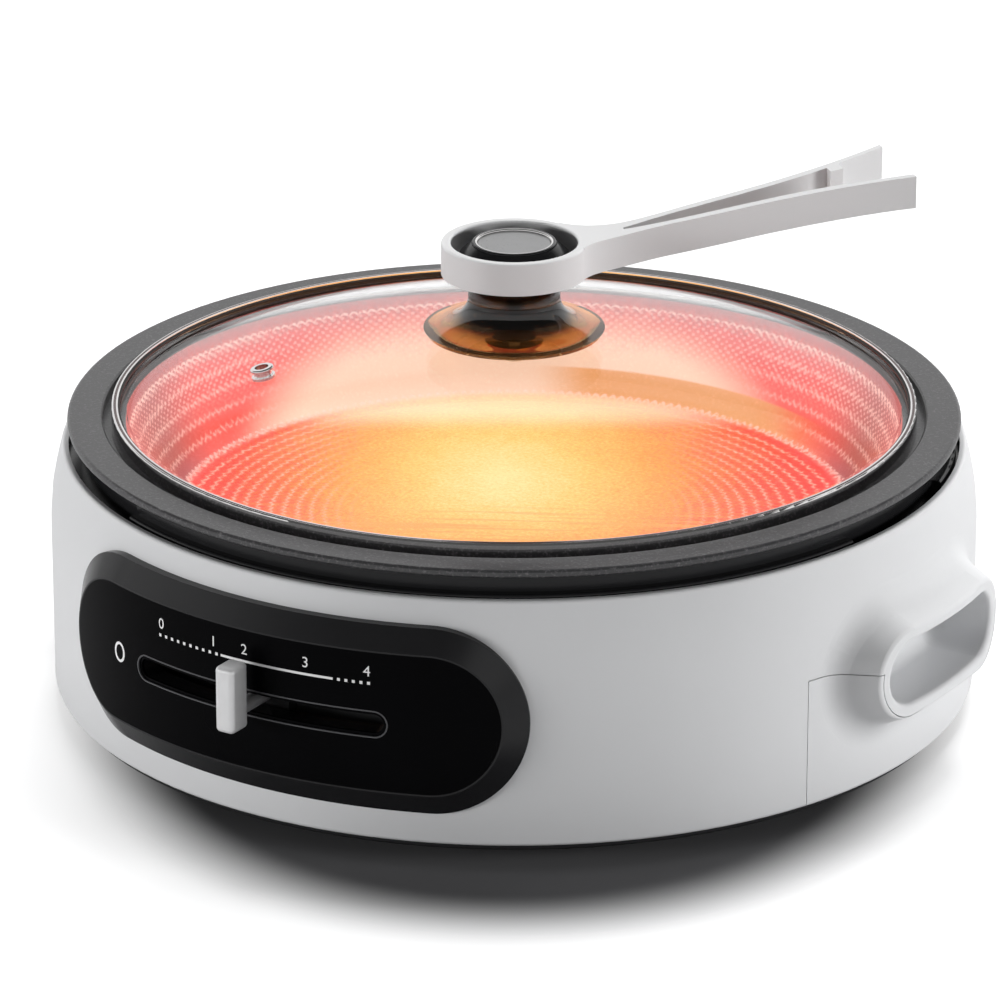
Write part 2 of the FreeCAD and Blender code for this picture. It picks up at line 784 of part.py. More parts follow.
def collar_ring():
    ring = revolve([
        (collar_in_r, collar_top_z),
        (collar_step_r, collar_top_z),
        (collar_step_r, collar_ledge_z),
        (collar_ledge_r, collar_ledge_z),
        (collar_ledge_r, collar_skirt_z),
        (collar_skirt_r, collar_skirt_z),
        (collar_skirt_r, collar_bottom_z),
        (collar_in_r, collar_bottom_z),
    ])
    round_edges = edges_at_height(ring, collar_ledge_z, collar_ledge_r - face_tol)
    round_edges += edges_at_height(ring, collar_top_z, collar_step_r - face_tol)
    ring = ring.makeFillet(collar_round, round_edges)
    for middle, half in ((notch_right_angle, notch_half_angle), (notch_left_angle, notch_left_half_angle)):
        notch = tube(collar_step_r, collar_ledge_r + cut_over, collar_skirt_z, collar_ledge_z + cut_over)
        notch = notch.common(wedge(half, middle, body_r, collar_skirt_z, collar_ledge_z + cut_over))
        ring = ring.cut(notch)
    return ring


def pan():
    lean = (pan_ledge_in_r - pan_floor_r) / (pan_ledge_z - pan_floor_z)
    rim_r = pan_flange_in_r + pan_wall
    under_r = pan_ledge_in_r + pan_wall
    under_z = pan_ledge_z - pan_wall
    floor_r = under_r - lean * (under_z - pan_under_z)
    flange_under_z = pan_flange_top_z - pan_flange_thick
    outside = revolve([
        (0, pan_under_z), (floor_r, pan_under_z), (under_r, under_z), (rim_r, under_z),
        (rim_r, flange_under_z), (pan_flange_r, flange_under_z), (pan_flange_r, pan_flange_top_z),
        (0, pan_flange_top_z),
    ])
    outside = outside.makeFillet(pan_corner + pan_wall, edges_at_height(outside, pan_under_z))
    rim_edges = edges_at_height(outside, pan_flange_top_z)
    rim_edges += edges_at_height(outside, flange_under_z, pan_flange_r - face_tol)
    outside = outside.makeFillet(pan_edge_round, rim_edges)
    inside = revolve([
        (0, pan_floor_z), (pan_floor_r, pan_floor_z), (pan_ledge_in_r, pan_ledge_z),
        (pan_flange_in_r, pan_ledge_z), (pan_flange_in_r, pan_flange_top_z + cut_over),
        (0, pan_flange_top_z + cut_over),
    ])
    inside = inside.makeFillet(pan_corner, edges_at_height(inside, pan_floor_z))
    bowl = outside.cut(inside)
    top_edges = edges_at_height(bowl, pan_flange_top_z)
    lip = [edge for edge in top_edges if edge.BoundBox.XMax < pan_flange_in_r + face_tol]
    return bowl.makeChamfer(pan_lip_bevel, lip)


# Lid

def lid_inside_r():
    return lid_r - lid_rim_wall - glue_gap


def glass_edge_r():
    return lid_inside_r() - seal_wall - glue_gap


def glass_edge_top_z():
    return lid_rim_top_z - lid_rim_wall - glue_gap - seal_wall - glue_gap


def dome_radius():
    sag = lid_apex_z - glass_edge_top_z()
    return (lid_dome_r ** 2 + sag ** 2) / (2 * sag)


def dome_fall(r):
    """How far the dome has fallen from its top at r from the axis."""
    return dome_radius() - math.sqrt(dome_radius() ** 2 - r ** 2)


def dome_points(drop):
    """The middle and end points of the dome's outline, drop below its top face."""
    half = lid_dome_r / 2
    return [point(r, lid_apex_z - dome_fall(r) - drop) for r in (half, lid_dome_r)]


def vent_place():
    r = math.hypot(vent_x, vent_y)
    lean = math.degrees(math.asin(r / dome_radius()))
    return Vector(vent_x, vent_y, lid_apex_z - dome_fall(r)), lean


def on_vent(shape):
    """Move a shape made upright at the origin to the vent, square to the dome."""
    place, lean = vent_place()
    heading = math.degrees(math.atan2(vent_y, vent_x))
    shape.rotate(CENTRE, Y_AXIS, lean)
    shape.rotate(CENTRE, Z_AXIS, heading)
    shape.translate(place)
    return shape


def lid_glass():
    top = point(0, lid_apex_z)
    under = point(0, lid_apex_z - lid_glass_thick)
    top_middle, top_end = dome_points(0)
    under_middle, under_end = dome_points(lid_glass_thick)
    edge_top = point(glass_edge_r(), top_end.z)
    edge_under = point(glass_edge_r(), under_end.z)
    glass = revolve_edges([
        arc(top, top_middle, top_end), line(top_end, edge_top), line(edge_top, edge_under),
        line(edge_under, under_end), arc(under_end, under_middle, under), line(under, top),
    ])
    glass = glass.cut(disc(knob_screw_r + run_gap, under.z - cut_over, top.z + cut_over))
    hole = on_vent(disc(vent_barrel_r + glue_gap, -lid_glass_thick * 2, lid_glass_thick))
    return glass.cut(hole)


def lid_rim():
    low = lid_seat_z
    inside_r = lid_r - lid_rim_wall
    land_r = lid_r - lid_rim_land
    rim = revolve([
        (lid_r, low), (lid_r, lid_rim_top_z), (land_r, lid_rim_top_z),
        (land_r, lid_rim_top_z - lid_rim_wall), (inside_r, lid_rim_top_z - lid_rim_wall),
        (inside_r, low + lid_rim_wall), (land_r, low + lid_rim_wall), (land_r, low),
    ])
    return rim.makeFillet(lid_rim_round, edges_at_height(rim, lid_rim_top_z, lid_r - face_tol))


def rim_seal():
    top = lid_rim_top_z - lid_rim_wall - glue_gap
    low = lid_seat_z + lid_rim_wall + glue_gap
    out = lid_inside_r()
    lip_r = lid_r - lid_rim_land - seal_lip
    glass_top = glass_edge_top_z() + glue_gap
    glass_under = glass_edge_top_z() - lid_glass_thick - glue_gap
    return revolve([
        (lip_r, top), (out, top), (out, low), (lip_r, low), (lip_r, glass_under),
        (out - seal_wall, glass_under), (out - seal_wall, glass_top), (lip_r, glass_top),
    ])


def vent_eyelet():
    reach = lid_glass_thick / 2
    middle = -reach
    barrel = disc(vent_barrel_r, middle - reach - glue_gap, middle + reach + glue_gap)
    top = disc(vent_flange_r, glue_gap, glue_gap + vent_flange)
    top = top.makeFillet(vent_round, edges_at_height(top, glue_gap + vent_flange))
    low = disc(vent_flange_r, -lid_glass_thick - glue_gap - vent_flange, -lid_glass_thick - glue_gap)
    eyelet = barrel.fuse(top).fuse(low)
    eyelet = eyelet.cut(disc(vent_hole_r, -lid_glass_thick * 2, lid_glass_thick))
    return on_vent(eyelet)


# Knob

def smooth(points):
    curve = Part.BSplineCurve()
    curve.interpolate([point(r, z) for r, z in points])
    return curve.toShape()


def outline(points):
    return [line(point(*points[i]), point(*points[i + 1])) for i in range(len(points) - 1)]


def knob_skirt():
    neck = knob_neck_r
    span = knob_skirt_r - neck
    height = knob_neck_z - knob_skirt_edge_z
    edge_top = knob_skirt_edge_z + knob_skirt_edge / 2
    edge_low = knob_skirt_edge_z - knob_skirt_edge / 2
    foot_z = lid_apex_z + glue_gap + knob_gasket + glue_gap
    bore_r = knob_screw_r + glue_gap
    outer = [(neck, knob_neck_z)]
    outer += [(neck + span * across, edge_top + height * up) for across, up in knob_flare]
    outer += [(knob_skirt_r, edge_top)]
    inner = [(knob_skirt_r - knob_wall / 3, edge_low)]
    inner += [(neck + span * across, edge_top + height * up - knob_wall) for across, up in knob_flare_inside]
    inner += [(knob_core_r + knob_wall / 2, knob_neck_z - knob_wall * 2)]
    bore_top = knob_cap_bottom_z - knob_wall
    straight = [(knob_core_r + knob_wall / 2, knob_neck_z - knob_wall * 2), (knob_core_r, foot_z),
                (bore_r, foot_z), (bore_r, bore_top), (0, bore_top), (0, knob_cap_bottom_z - glue_gap),
                (neck, knob_cap_bottom_z - glue_gap), (neck, knob_collar_z),
                (knob_collar_r, knob_collar_z), (knob_collar_r, knob_collar_z - knob_collar),
                (neck, knob_collar_z - knob_collar), (neck, knob_neck_z)]
    edges = [smooth(outer), line(point(*outer[-1]), point(*inner[0])), smooth(inner)] + outline(straight)
    return revolve_edges(edges)


def knob_cap():
    rim_z = knob_top_z - knob_ring_height / 2
    cap = revolve([
        (0, knob_cap_bottom_z), (knob_cap_r, knob_cap_bottom_z), (knob_cap_r, knob_cap_shoulder_z),
        (knob_ring_r + glue_gap * 2, rim_z), (0, rim_z),
    ])
    cap = cap.makeFillet(knob_cap_round, edges_at_height(cap, knob_cap_shoulder_z))
    return cap.cut(disc(knob_ring_r + glue_gap, knob_top_z - knob_ring_height - glue_gap, knob_top_z))


def knob_ring():
    ring = tube(knob_disc_r + glue_gap, knob_ring_r, knob_top_z - knob_ring_height, knob_top_z)
    top = edges_at_height(ring, knob_top_z)
    return ring.makeFillet(knob_ring_round, top)


def knob_disc():
    top = knob_top_z - knob_disc_drop
    plate = disc(knob_disc_r, knob_top_z - knob_ring_height, top)
    return plate.makeChamfer(knob_disc_bevel, edges_at_height(plate, top))


def knob_gasket_ring():
    low = lid_apex_z + glue_gap
    return tube(knob_screw_r + run_gap, knob_core_r + knob_gasket_lap, low, low + knob_gasket)


def knob_washer_disc():
    top = lid_apex_z - lid_glass_thick - glue_gap - dome_fall(knob_washer_r)
    return tube(knob_screw_r + glue_gap, knob_washer_r, top - knob_washer, top)


def knob_screw():
    seat = lid_apex_z - lid_glass_thick - glue_gap * 2 - dome_fall(knob_washer_r) - knob_washer
    head = disc(knob_screw_head_r, seat - knob_screw_head, seat)
    head = head.makeFillet(knob_screw_round, edges_at_height(head, seat - knob_screw_head))
    shank = disc(knob_screw_r, seat - glue_gap, knob_cap_bottom_z - knob_wall - run_gap)
    slot = box(Vector(0, 0, seat - knob_screw_head),
               Vector((knob_screw_head_r + cut_over) * 2, knob_screw_slot, knob_screw_head))
    return head.fuse(shank).cut(slot)


# Lid lifter

def smooth_flat(points, z):
    curve = Part.BSplineCurve()
    curve.interpolate([Vector(x, y, z) for x, y in points])
    return curve.toShape()


def mirrored_face(side, z):
    """The face between a smooth side, given from root to tip, and its mirror image in Y."""
    mirror = [(x, -y) for x, y in reversed(side)]
    tip = line(Vector(*side[-1], z), Vector(*mirror[0], z))
    root = line(Vector(*mirror[-1], z), Vector(*side[0], z))
    return Part.Face(Part.Wire([smooth_flat(side, z), tip, smooth_flat(mirror, z), root]))


def lifter_outline(z):
    root_half = math.sqrt(lifter_r ** 2 - lifter_root_x ** 2)
    return mirrored_face([
        (lifter_root_x, root_half),
        (lifter_shoulder_x, lifter_shoulder_half),
        (lifter_waist_x, lifter_waist_half),
        (lifter_neck_x, lifter_neck_half),
        ((lifter_neck_x + lifter_flare_x) / 2, (lifter_neck_half + lifter_flare_half) / 2),
        (lifter_flare_x, lifter_flare_half),
        (lifter_mid_x, lifter_mid_half),
        (lifter_reach, lifter_tip_half),
    ], z)


def lifter_gap(z):
    inner_mid = lifter_mid_half - lifter_mid_arm
    inner_tip = lifter_tip_half - lifter_arm
    spread = (inner_tip - inner_mid) / (lifter_reach - lifter_mid_x)
    return mirrored_face([
        (lifter_crotch_x, lifter_crotch_half),
        ((lifter_neck_x + lifter_flare_x) / 2, (lifter_neck_half + lifter_flare_half) / 2 - lifter_mid_arm),
        (lifter_flare_x, lifter_flare_half - lifter_mid_arm),
        (lifter_mid_x, inner_mid),
        (lifter_reach, inner_tip),
        (lifter_reach + cut_over, inner_tip + spread * cut_over),
    ], z)


def lifter_climb(z_low, z_high):
    """The room between the arms' underside and their top: level, then a bend, then a straight climb."""
    climb = math.radians(lifter_rise)
    away = Vector(math.cos(climb), 0, math.sin(climb))
    up = Vector(0, 0, z_high - z_low)
    root = point(0, z_low)
    corner = point(lifter_rise_x, z_low)
    start = corner - X_AXIS * lifter_rise_bend
    end = corner + away * lifter_rise_bend
    tip = corner + away * lifter_reach
    bend_r = lifter_rise_bend / math.tan(climb / 2)
    middle = start + point(bend_r * math.sin(climb / 2), bend_r * (1 - math.cos(climb / 2)))
    room = Part.Face(Part.Wire([
        line(root, start), arc(start, middle, end), line(end, tip), line(tip, tip + up),
        line(tip + up, end + up), arc(end + up, middle + up, start + up), line(start + up, root + up),
        line(root + up, root),
    ]))
    across = lifter_r + cut_over
    room.translate(Vector(0, -across, 0))
    return room.extrude(Vector(0, across * 2, 0))


def lid_lifter():
    low = lifter_bottom_z
    high = low + lifter_height
    up = Vector(0, 0, lifter_reach)
    arms = lifter_outline(low).extrude(up)
    arms = arms.cut(lifter_gap(low).extrude(up))
    stop_share = (lifter_stop_x - lifter_mid_x) / (lifter_reach - lifter_mid_x)
    stop_y = lifter_mid_half + (lifter_tip_half - lifter_mid_half) * stop_share - lifter_arm
    stop = box(Vector(lifter_stop_x, stop_y - lifter_stop / 2, high),
               Vector(lifter_stop_width, lifter_stop + lifter_arm, lifter_reach))
    arms = arms.fuse(stop).common(lifter_climb(low, high))
    arms = arms.cut(disc(lifter_r - lifter_wall / 2, low, high))
    ring = tube(lifter_r - lifter_wall, lifter_r, low, high)
    lip = tube(lifter_lip_r, lifter_r - lifter_wall / 2, low, low + lifter_lip)
    ring = ring.fuse(lip)
    ring = ring.makeFillet(lifter_edge_round, edges_at_height(ring, high))
    return turned(ring.fuse(arms), lifter_angle)


# Heater and wiring

def heater_ring(radius):
    """The heater tube's ring, open towards +Y, with its two ends turned down."""
    centre_z = plate_bottom_z + tube_sink
    sweep = 360.0 - tube_gap_angle
    ring = Part.makeTorus(tube_ring_r, radius, Vector(0, 0, centre_z), Z_AXIS, 0, 360, sweep)
    ring.rotate(CENTRE, Z_AXIS, 90 + tube_gap_angle / 2)
    return ring


def heater_end_places():
    return [polar(tube_ring_r, 90 + side * tube_gap_angle / 2) for side in (-1, 1)]


def heating_plate():
    plate = disc(plate_r, plate_bottom_z, plate_top_z)
    plate = plate.makeFillet(soft_edge, edges_at_height(plate, plate_top_z))
    plate = plate.cut(heater_ring(tube_r + glue_gap))
    for place in heater_end_places():
        knob_end = Part.makeSphere(tube_r + glue_gap, place + Vector(0, 0, plate_bottom_z + tube_sink))
        plate = plate.cut(knob_end)
    return plate


def heating_tube():
    shape = heater_ring(tube_r)
    centre_z = plate_bottom_z + tube_sink
    for place in heater_end_places():
        shape = shape.fuse(Part.makeSphere(tube_r, place + Vector(0, 0, centre_z)))
        shape = shape.fuse(disc(cold_pin_r, cold_pin_bottom_z, centre_z, place))
    return shape


def pin_bushes():
    bushes = []
    for place in heater_end_places():
        low = reflector_floor_z - glue_gap - bush_height
        bush = disc(bush_r, low, low + bush_height, place)
        bore = disc(cold_pin_r + glue_gap, low - cut_over, low + bush_height + cut_over, place)
        bushes.append(bush.cut(bore))
    return group(bushes)


def heat_reflector():
    top = reflector_top_z
    low = reflector_floor_z
    wall = reflector_wall
    dish = revolve([
        (0, low), (reflector_r, low), (reflector_r, top - wall), (reflector_flange_r, top - wall),
        (reflector_flange_r, top), (reflector_r - wall, top), (reflector_r - wall, low + wall),
        (0, low + wall),
    ])
    for place in heater_end_places():
        dish = dish.cut(disc(cold_pin_r + run_gap, low - cut_over, low + cut_over, place))
    return dish


def plate_brackets():
    low = reflector_floor_z + reflector_wall + glue_gap
    high = plate_bottom_z - glue_gap
    brackets = []
    for i in range(bracket_count):
        foot = box(Vector(bracket_place_r + bracket_foot / 2, 0, low + bracket_thick / 2),
                   Vector(bracket_foot, bracket_width, bracket_thick))
        leg = box(Vector(bracket_place_r + bracket_thick / 2, 0, (low + high) / 2),
                  Vector(bracket_thick, bracket_width, high - low))
        tab = box(Vector(bracket_place_r + bracket_foot / 2, 0, high - bracket_thick / 2),
                  Vector(bracket_foot, bracket_width, bracket_thick))
        brackets.append(turned(foot.fuse(leg).fuse(tab), bracket_first_angle + i * 360.0 / bracket_count))
    return group(brackets)


def reflector_posts():
    posts = []
    for i in range(post_count):
        place = polar(post_place_r, post_first_angle + i * 360.0 / post_count)
        posts.append(disc(post_r, base_top_z + glue_gap, reflector_floor_z - glue_gap, place))
    return group(posts)


def limit_thermostat():
    top = plate_bottom_z - glue_gap
    place = Vector(thermostat_x, thermostat_y, 0)
    can = disc(thermostat_r, top - thermostat_height, top, place)
    can = can.makeFillet(soft_edge, edges_at_height(can, top - thermostat_height))
    lugs = box(place + Vector(0, 0, top - thermostat_height / 3),
               Vector(thermostat_lug_reach * 2, thermostat_lug_width, thermostat_lug))
    return can.fuse(lugs)


def thermal_fuse():
    z = plate_bottom_z - glue_gap - fuse_r
    return Part.makeCylinder(fuse_r, fuse_length, Vector(-fuse_length / 2, fuse_y, z), X_AXIS)


def terminal_block():
    low = base_top_z + glue_gap
    return box(Vector(0, terminal_y, low + terminal_height / 2),
               Vector(terminal_width, terminal_depth, terminal_height))


def inlet_block(half_width, half_height, y_low, y_high):
    block = Part.makeBox(half_width * 2, y_high - y_low, half_height * 2,
                         Vector(-half_width, y_low, inlet_z - half_height))
    along_y = [e for e in block.Edges if abs(e.BoundBox.YLength - (y_high - y_low)) < face_tol]
    return block.makeFillet(inlet_corner, along_y)


def pin_places():
    return [i * pin_pitch for i in (-1, 0, 1)]


def power_inlet():
    back_y = inlet_face_y - inlet_depth - inlet_wall
    shell = inlet_block(inlet_half_width, inlet_half_height, back_y, inlet_face_y)
    flange = inlet_block(inlet_half_width + inlet_flange_lap, inlet_half_height + inlet_flange_lap,
                         inlet_face_y - inlet_flange * 2, inlet_face_y)
    flange = flange.cut(body_outline(-glue_gap, body_bottom_z, body_top_z))
    shell = shell.fuse(flange)
    shell = shell.cut(inlet_block(inlet_half_width - inlet_wall, inlet_half_height - inlet_wall,
                                  inlet_face_y - inlet_depth, inlet_face_y + cut_over))
    for x in pin_places():
        hole = box(Vector(x, back_y, inlet_z),
                   Vector(pin_width + 2 * glue_gap, inlet_wall * 4, pin_height + 2 * glue_gap))
        shell = shell.cut(hole)
    return shell


def inlet_pins():
    y_low = inlet_face_y - inlet_depth - inlet_wall - pin_tail
    y_high = inlet_face_y - inlet_depth + pin_length
    size = Vector(pin_width, y_high - y_low, pin_height)
    return group([box(Vector(x, (y_low + y_high) / 2, inlet_z), size) for x in pin_places()])


def wire(points):
    """A wire along straight runs joined by arcs that touch them."""
    edges = []
    start = points[0]
    for before, corner, after in zip(points, points[1:], points[2:]):
        inward = (before - corner).normalize()
        outward = (after - corner).normalize()
        touch_in = corner + inward * wire_bend
        touch_out = corner + outward * wire_bend
        centre = corner + (inward + outward) * wire_bend
        middle = centre + (corner - centre).normalize() * wire_bend
        edges.append(line(start, touch_in))
        edges.append(arc(touch_in, middle, touch_out))
        start = touch_out
    edges.append(line(start, points[-1]))
    path = Part.Wire(edges)
    section = Part.Wire(Part.makeCircle(wire_r, points[0], (points[1] - points[0]).normalize()))
    return path.makePipeShell([section], True, False)


def wiring():
    wires = []
    tail_y = inlet_face_y - inlet_depth - inlet_wall - pin_tail / 2
    block_back_y = terminal_y + terminal_depth / 2
    block_front_y = terminal_y - terminal_depth / 2
    for x in pin_places():
        wires.append(wire([Vector(x, tail_y, inlet_z - pin_height / 2), Vector(x, tail_y, wire_z),
                           Vector(x, block_back_y, wire_z)]))
    regulator_y = -(regulator_r_in + regulator_r_out) / 2
    for x in (-wire_spread / 2, wire_spread / 2):
        wires.append(wire([Vector(x, block_front_y, wire_z), Vector(x, regulator_y, wire_z),
                           Vector(x, regulator_y, slot_z - regulator_half_height)]))
    for place in heater_end_places():
        start_y = place.y + cold_pin_r + glue_gap
        start = Vector(place.x, start_y, wire_z)
        wires.append(Part.makeCylinder(wire_r, block_front_y - start_y, start, Y_AXIS))
    return group(wires)


hollow_block = hollow(body_block())
right_cover = side_cover(hollow_block)

save("body_shell", body_shell(hollow_block))
save("side_cover_right", right_cover)
save("side_cover_left", turned(right_cover, 180))
save("base_plate", base_plate())
save("rubber_feet", rubber_feet())
save("base_screws", base_screws())
save("collar_ring", collar_ring())
save("control_pod", control_pod())
save("control_panel", control_panel())
save("slot_trim", slot_trim())
save("slider_knob", slider_knob())
save("slider_stem", slider_stem())
save("slider_carriage", slider_carriage())
save("slider_rail", slider_rail())
save("temperature_regulator", temperature_regulator())
save("heating_plate", heating_plate())
save("heating_tube", heating_tube())
save("pin_bushes", pin_bushes())
save("heat_reflector", heat_reflector())
save("plate_brackets", plate_brackets())
save("reflector_posts", reflector_posts())
save("limit_thermostat", limit_thermostat())
save("thermal_fuse", thermal_fuse())
save("terminal_block", terminal_block())
save("power_inlet", power_inlet())
save("inlet_pins", inlet_pins())
save("wiring", wiring())
save("pan", pan())
save("lid_glass", lid_glass())
save("lid_rim", lid_rim())
save("rim_seal", rim_seal())
save("vent_eyelet", vent_eyelet())
save("knob_skirt", knob_skirt())
save("knob_cap", knob_cap())
save("knob_ring", knob_ring())
save("knob_disc", knob_disc())
save("knob_gasket", knob_gasket_ring())
save("knob_washer", knob_washer_disc())
save("knob_screw", knob_screw())
save("lid_lifter", lid_lifter())
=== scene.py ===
import bmesh
import bpy
import json
import math
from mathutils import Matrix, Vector


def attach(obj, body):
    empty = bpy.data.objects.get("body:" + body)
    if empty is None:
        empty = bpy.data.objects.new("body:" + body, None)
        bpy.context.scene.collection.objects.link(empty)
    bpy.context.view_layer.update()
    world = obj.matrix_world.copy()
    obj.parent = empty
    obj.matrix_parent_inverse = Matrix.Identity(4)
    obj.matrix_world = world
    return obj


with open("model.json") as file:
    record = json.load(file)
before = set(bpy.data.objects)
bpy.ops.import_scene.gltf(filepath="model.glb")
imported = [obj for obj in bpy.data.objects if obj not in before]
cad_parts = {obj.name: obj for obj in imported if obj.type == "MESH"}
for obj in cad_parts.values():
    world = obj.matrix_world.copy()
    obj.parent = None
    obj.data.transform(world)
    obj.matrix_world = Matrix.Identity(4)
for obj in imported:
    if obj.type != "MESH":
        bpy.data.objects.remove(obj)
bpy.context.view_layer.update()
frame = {"nodes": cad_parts, "record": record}
print("frame loaded:", len(frame["nodes"]), "nodes")

mm = 0.001
fullTurn = 2 * math.pi
black = (0.0, 0.0, 0.0)
white = (1.0, 1.0, 1.0)


class Num:                                      # a number socket, used in plain arithmetic
    def __init__(self, nodes, socket):
        self.nodes = nodes
        self.socket = socket

    def __add__(self, other):
        return self.nodes.calc("ADD", self, other)

    def __sub__(self, other):
        return self.nodes.calc("SUBTRACT", self, other)

    def __rsub__(self, other):
        return self.nodes.calc("SUBTRACT", other, self)

    def __mul__(self, other):
        return self.nodes.calc("MULTIPLY", self, other)

    def __truediv__(self, other):
        return self.nodes.calc("DIVIDE", self, other)

    def __rtruediv__(self, other):
        return self.nodes.calc("DIVIDE", other, self)

    def __pow__(self, other):
        return self.nodes.calc("POWER", self, other)

    def __rpow__(self, other):
        return self.nodes.calc("POWER", other, self)

    def __lt__(self, other):
        return self.nodes.calc("LESS_THAN", self, other)

    def __gt__(self, other):
        return self.nodes.calc("GREATER_THAN", self, other)

    def __abs__(self):
        return self.nodes.calc("ABSOLUTE", self)

    __radd__ = __add__
    __rmul__ = __mul__


class Nodes:                                    # a node tree, and the one way that nodes get into it
    def __init__(self, tree):
        self.tree = tree

    def node(self, kind, settings=None, sockets=None):
        made = self.tree.nodes.new(kind)
        for key, value in (settings or {}).items():
            if key == "stops":
                self.setStops(made.color_ramp, value)
            else:
                setattr(made, key, value)
        for key, value in (sockets or {}).items():
            self.plug(made.inputs[key], value)
        return made

    def plug(self, socket, value):
        if isinstance(value, Num):
            value = value.socket
        if isinstance(value, bpy.types.NodeSocket):
            self.tree.links.new(value, socket)
        else:
            socket.default_value = value

    def setStops(self, ramp, stops):
        while len(ramp.elements) < len(stops):
            ramp.elements.new(0.5)              # moved to its own place below
        for element, (position, colour) in zip(ramp.elements, stops):
            element.position = position
            element.color = (*colour, 1)

    def calc(self, operation, a, b=0.0):
        made = self.node("ShaderNodeMath", {"operation": operation}, {0: a, 1: b})
        return Num(self, made.outputs[0])

    def split(self, vector):                    # a vector's x, y and z
        made = self.node("ShaderNodeSeparateXYZ", None, {0: vector})
        return [Num(self, socket) for socket in made.outputs]

    def joined(self, x, y, z=0.0):              # a vector of three numbers
        return self.node("ShaderNodeCombineXYZ", None, {0: x, 1: y, 2: z}).outputs[0]

    def rays(self, kind):                       # what the light path says of the ray
        return Num(self, self.node("ShaderNodeLightPath").outputs[kind])

    def step(self, value, low, high):           # 0 below low, 1 above high, smooth between
        made = self.node("ShaderNodeMapRange", {"interpolation_type": "SMOOTHSTEP"},
                         {"Value": value, "From Min": low, "From Max": high})
        return Num(self, made.outputs[0])

    def slope(self, value, edges, ends):        # one end below the edges, the other above, straight between
        made = self.node("ShaderNodeMapRange", None,
                         {"Value": value, "From Min": edges[0], "From Max": edges[1],
                          "To Min": ends[0], "To Max": ends[1]})
        return Num(self, made.outputs[0])


class Paint(Nodes):                             # one material
    def __init__(self, name):
        self.material = bpy.data.materials.new(name)
        self.material.use_nodes = True
        super().__init__(self.material.node_tree)
        self.shader = self.tree.nodes["Principled BSDF"]
        coords = self.node("ShaderNodeTexCoord").outputs["Object"]
        scaled = self.node("ShaderNodeVectorMath", {"operation": "SCALE"}, {0: coords, "Scale": 1 / mm})
        self.place = scaled.outputs[0]          # where the point is on the pot, in millimetres

    def axes(self):
        return self.split(self.place)

    def radius(self):
        x, y = self.axes()[:2]
        return (x * x + y * y) ** 0.5

    def bearing(self):                          # turn about the pot's axis, in radians
        x, y = self.axes()[:2]
        return self.calc("ARCTAN2", y, x)

    def acrossAway(self, lay):                  # level distances along the angle lay and square to it
        x, y = self.axes()[:2]
        return x * math.cos(lay) + y * math.sin(lay), y * math.cos(lay) - x * math.sin(lay)

    def aroundAxis(self, turns, height):        # wraps texture round the pot's axis, for turned metal
        z = self.axes()[2]
        return self.joined(self.bearing() * turns, self.radius() * height, z * height)

    def noise(self, size, detail=3.0, vector=None, roughness=0.5):
        made = self.node("ShaderNodeTexNoise", None, {"Vector": vector or self.place, "Scale": 1 / size,
                                                      "Detail": detail, "Roughness": roughness})
        return Num(self, made.outputs[0])

    def ramp(self, value, stops):
        return self.node("ShaderNodeValToRGB", {"stops": stops}, {0: value}).outputs[0]

    def mix(self, factor, a, b):
        a = (*a, 1) if isinstance(a, tuple) else a
        b = (*b, 1) if isinstance(b, tuple) else b
        return self.node("ShaderNodeMix", {"data_type": "RGBA"}, {0: factor, 6: a, 7: b}).outputs[2]

    def bump(self, height, depth):              # depth in millimetres
        return self.node("ShaderNodeBump", None, {"Height": height, "Distance": depth * mm}).outputs[0]

    def finish(self, **sockets):                # names with underscores for the shader's spaces
        for key, value in sockets.items():
            name = key.replace("_", " ")
            value = (*value, 1) if isinstance(value, tuple) else value
            self.plug(self.shader.inputs[name], value)
        return self.material


def swing(noise, spread):                       # noise turned into a change up and down about 0
    return (noise - 0.5) * spread


def mouldedPlastic(name, look):
    paint = Paint(name)
    cloud = paint.noise(look["cloud"], detail=2.0)
    grain = paint.noise(look["grain"], detail=2.0)
    return paint.finish(Base_Color=paint.mix(cloud, look["colour"], look["second"]),
                        Roughness=look["roughness"] + swing(cloud, look["sheenSpread"]),
                        Specular_IOR_Level=look["specular"],
                        Coat_Weight=look.get("coat", 0.0), Coat_Roughness=0.08,
                        Normal=paint.bump(grain, look["grainDepth"]))


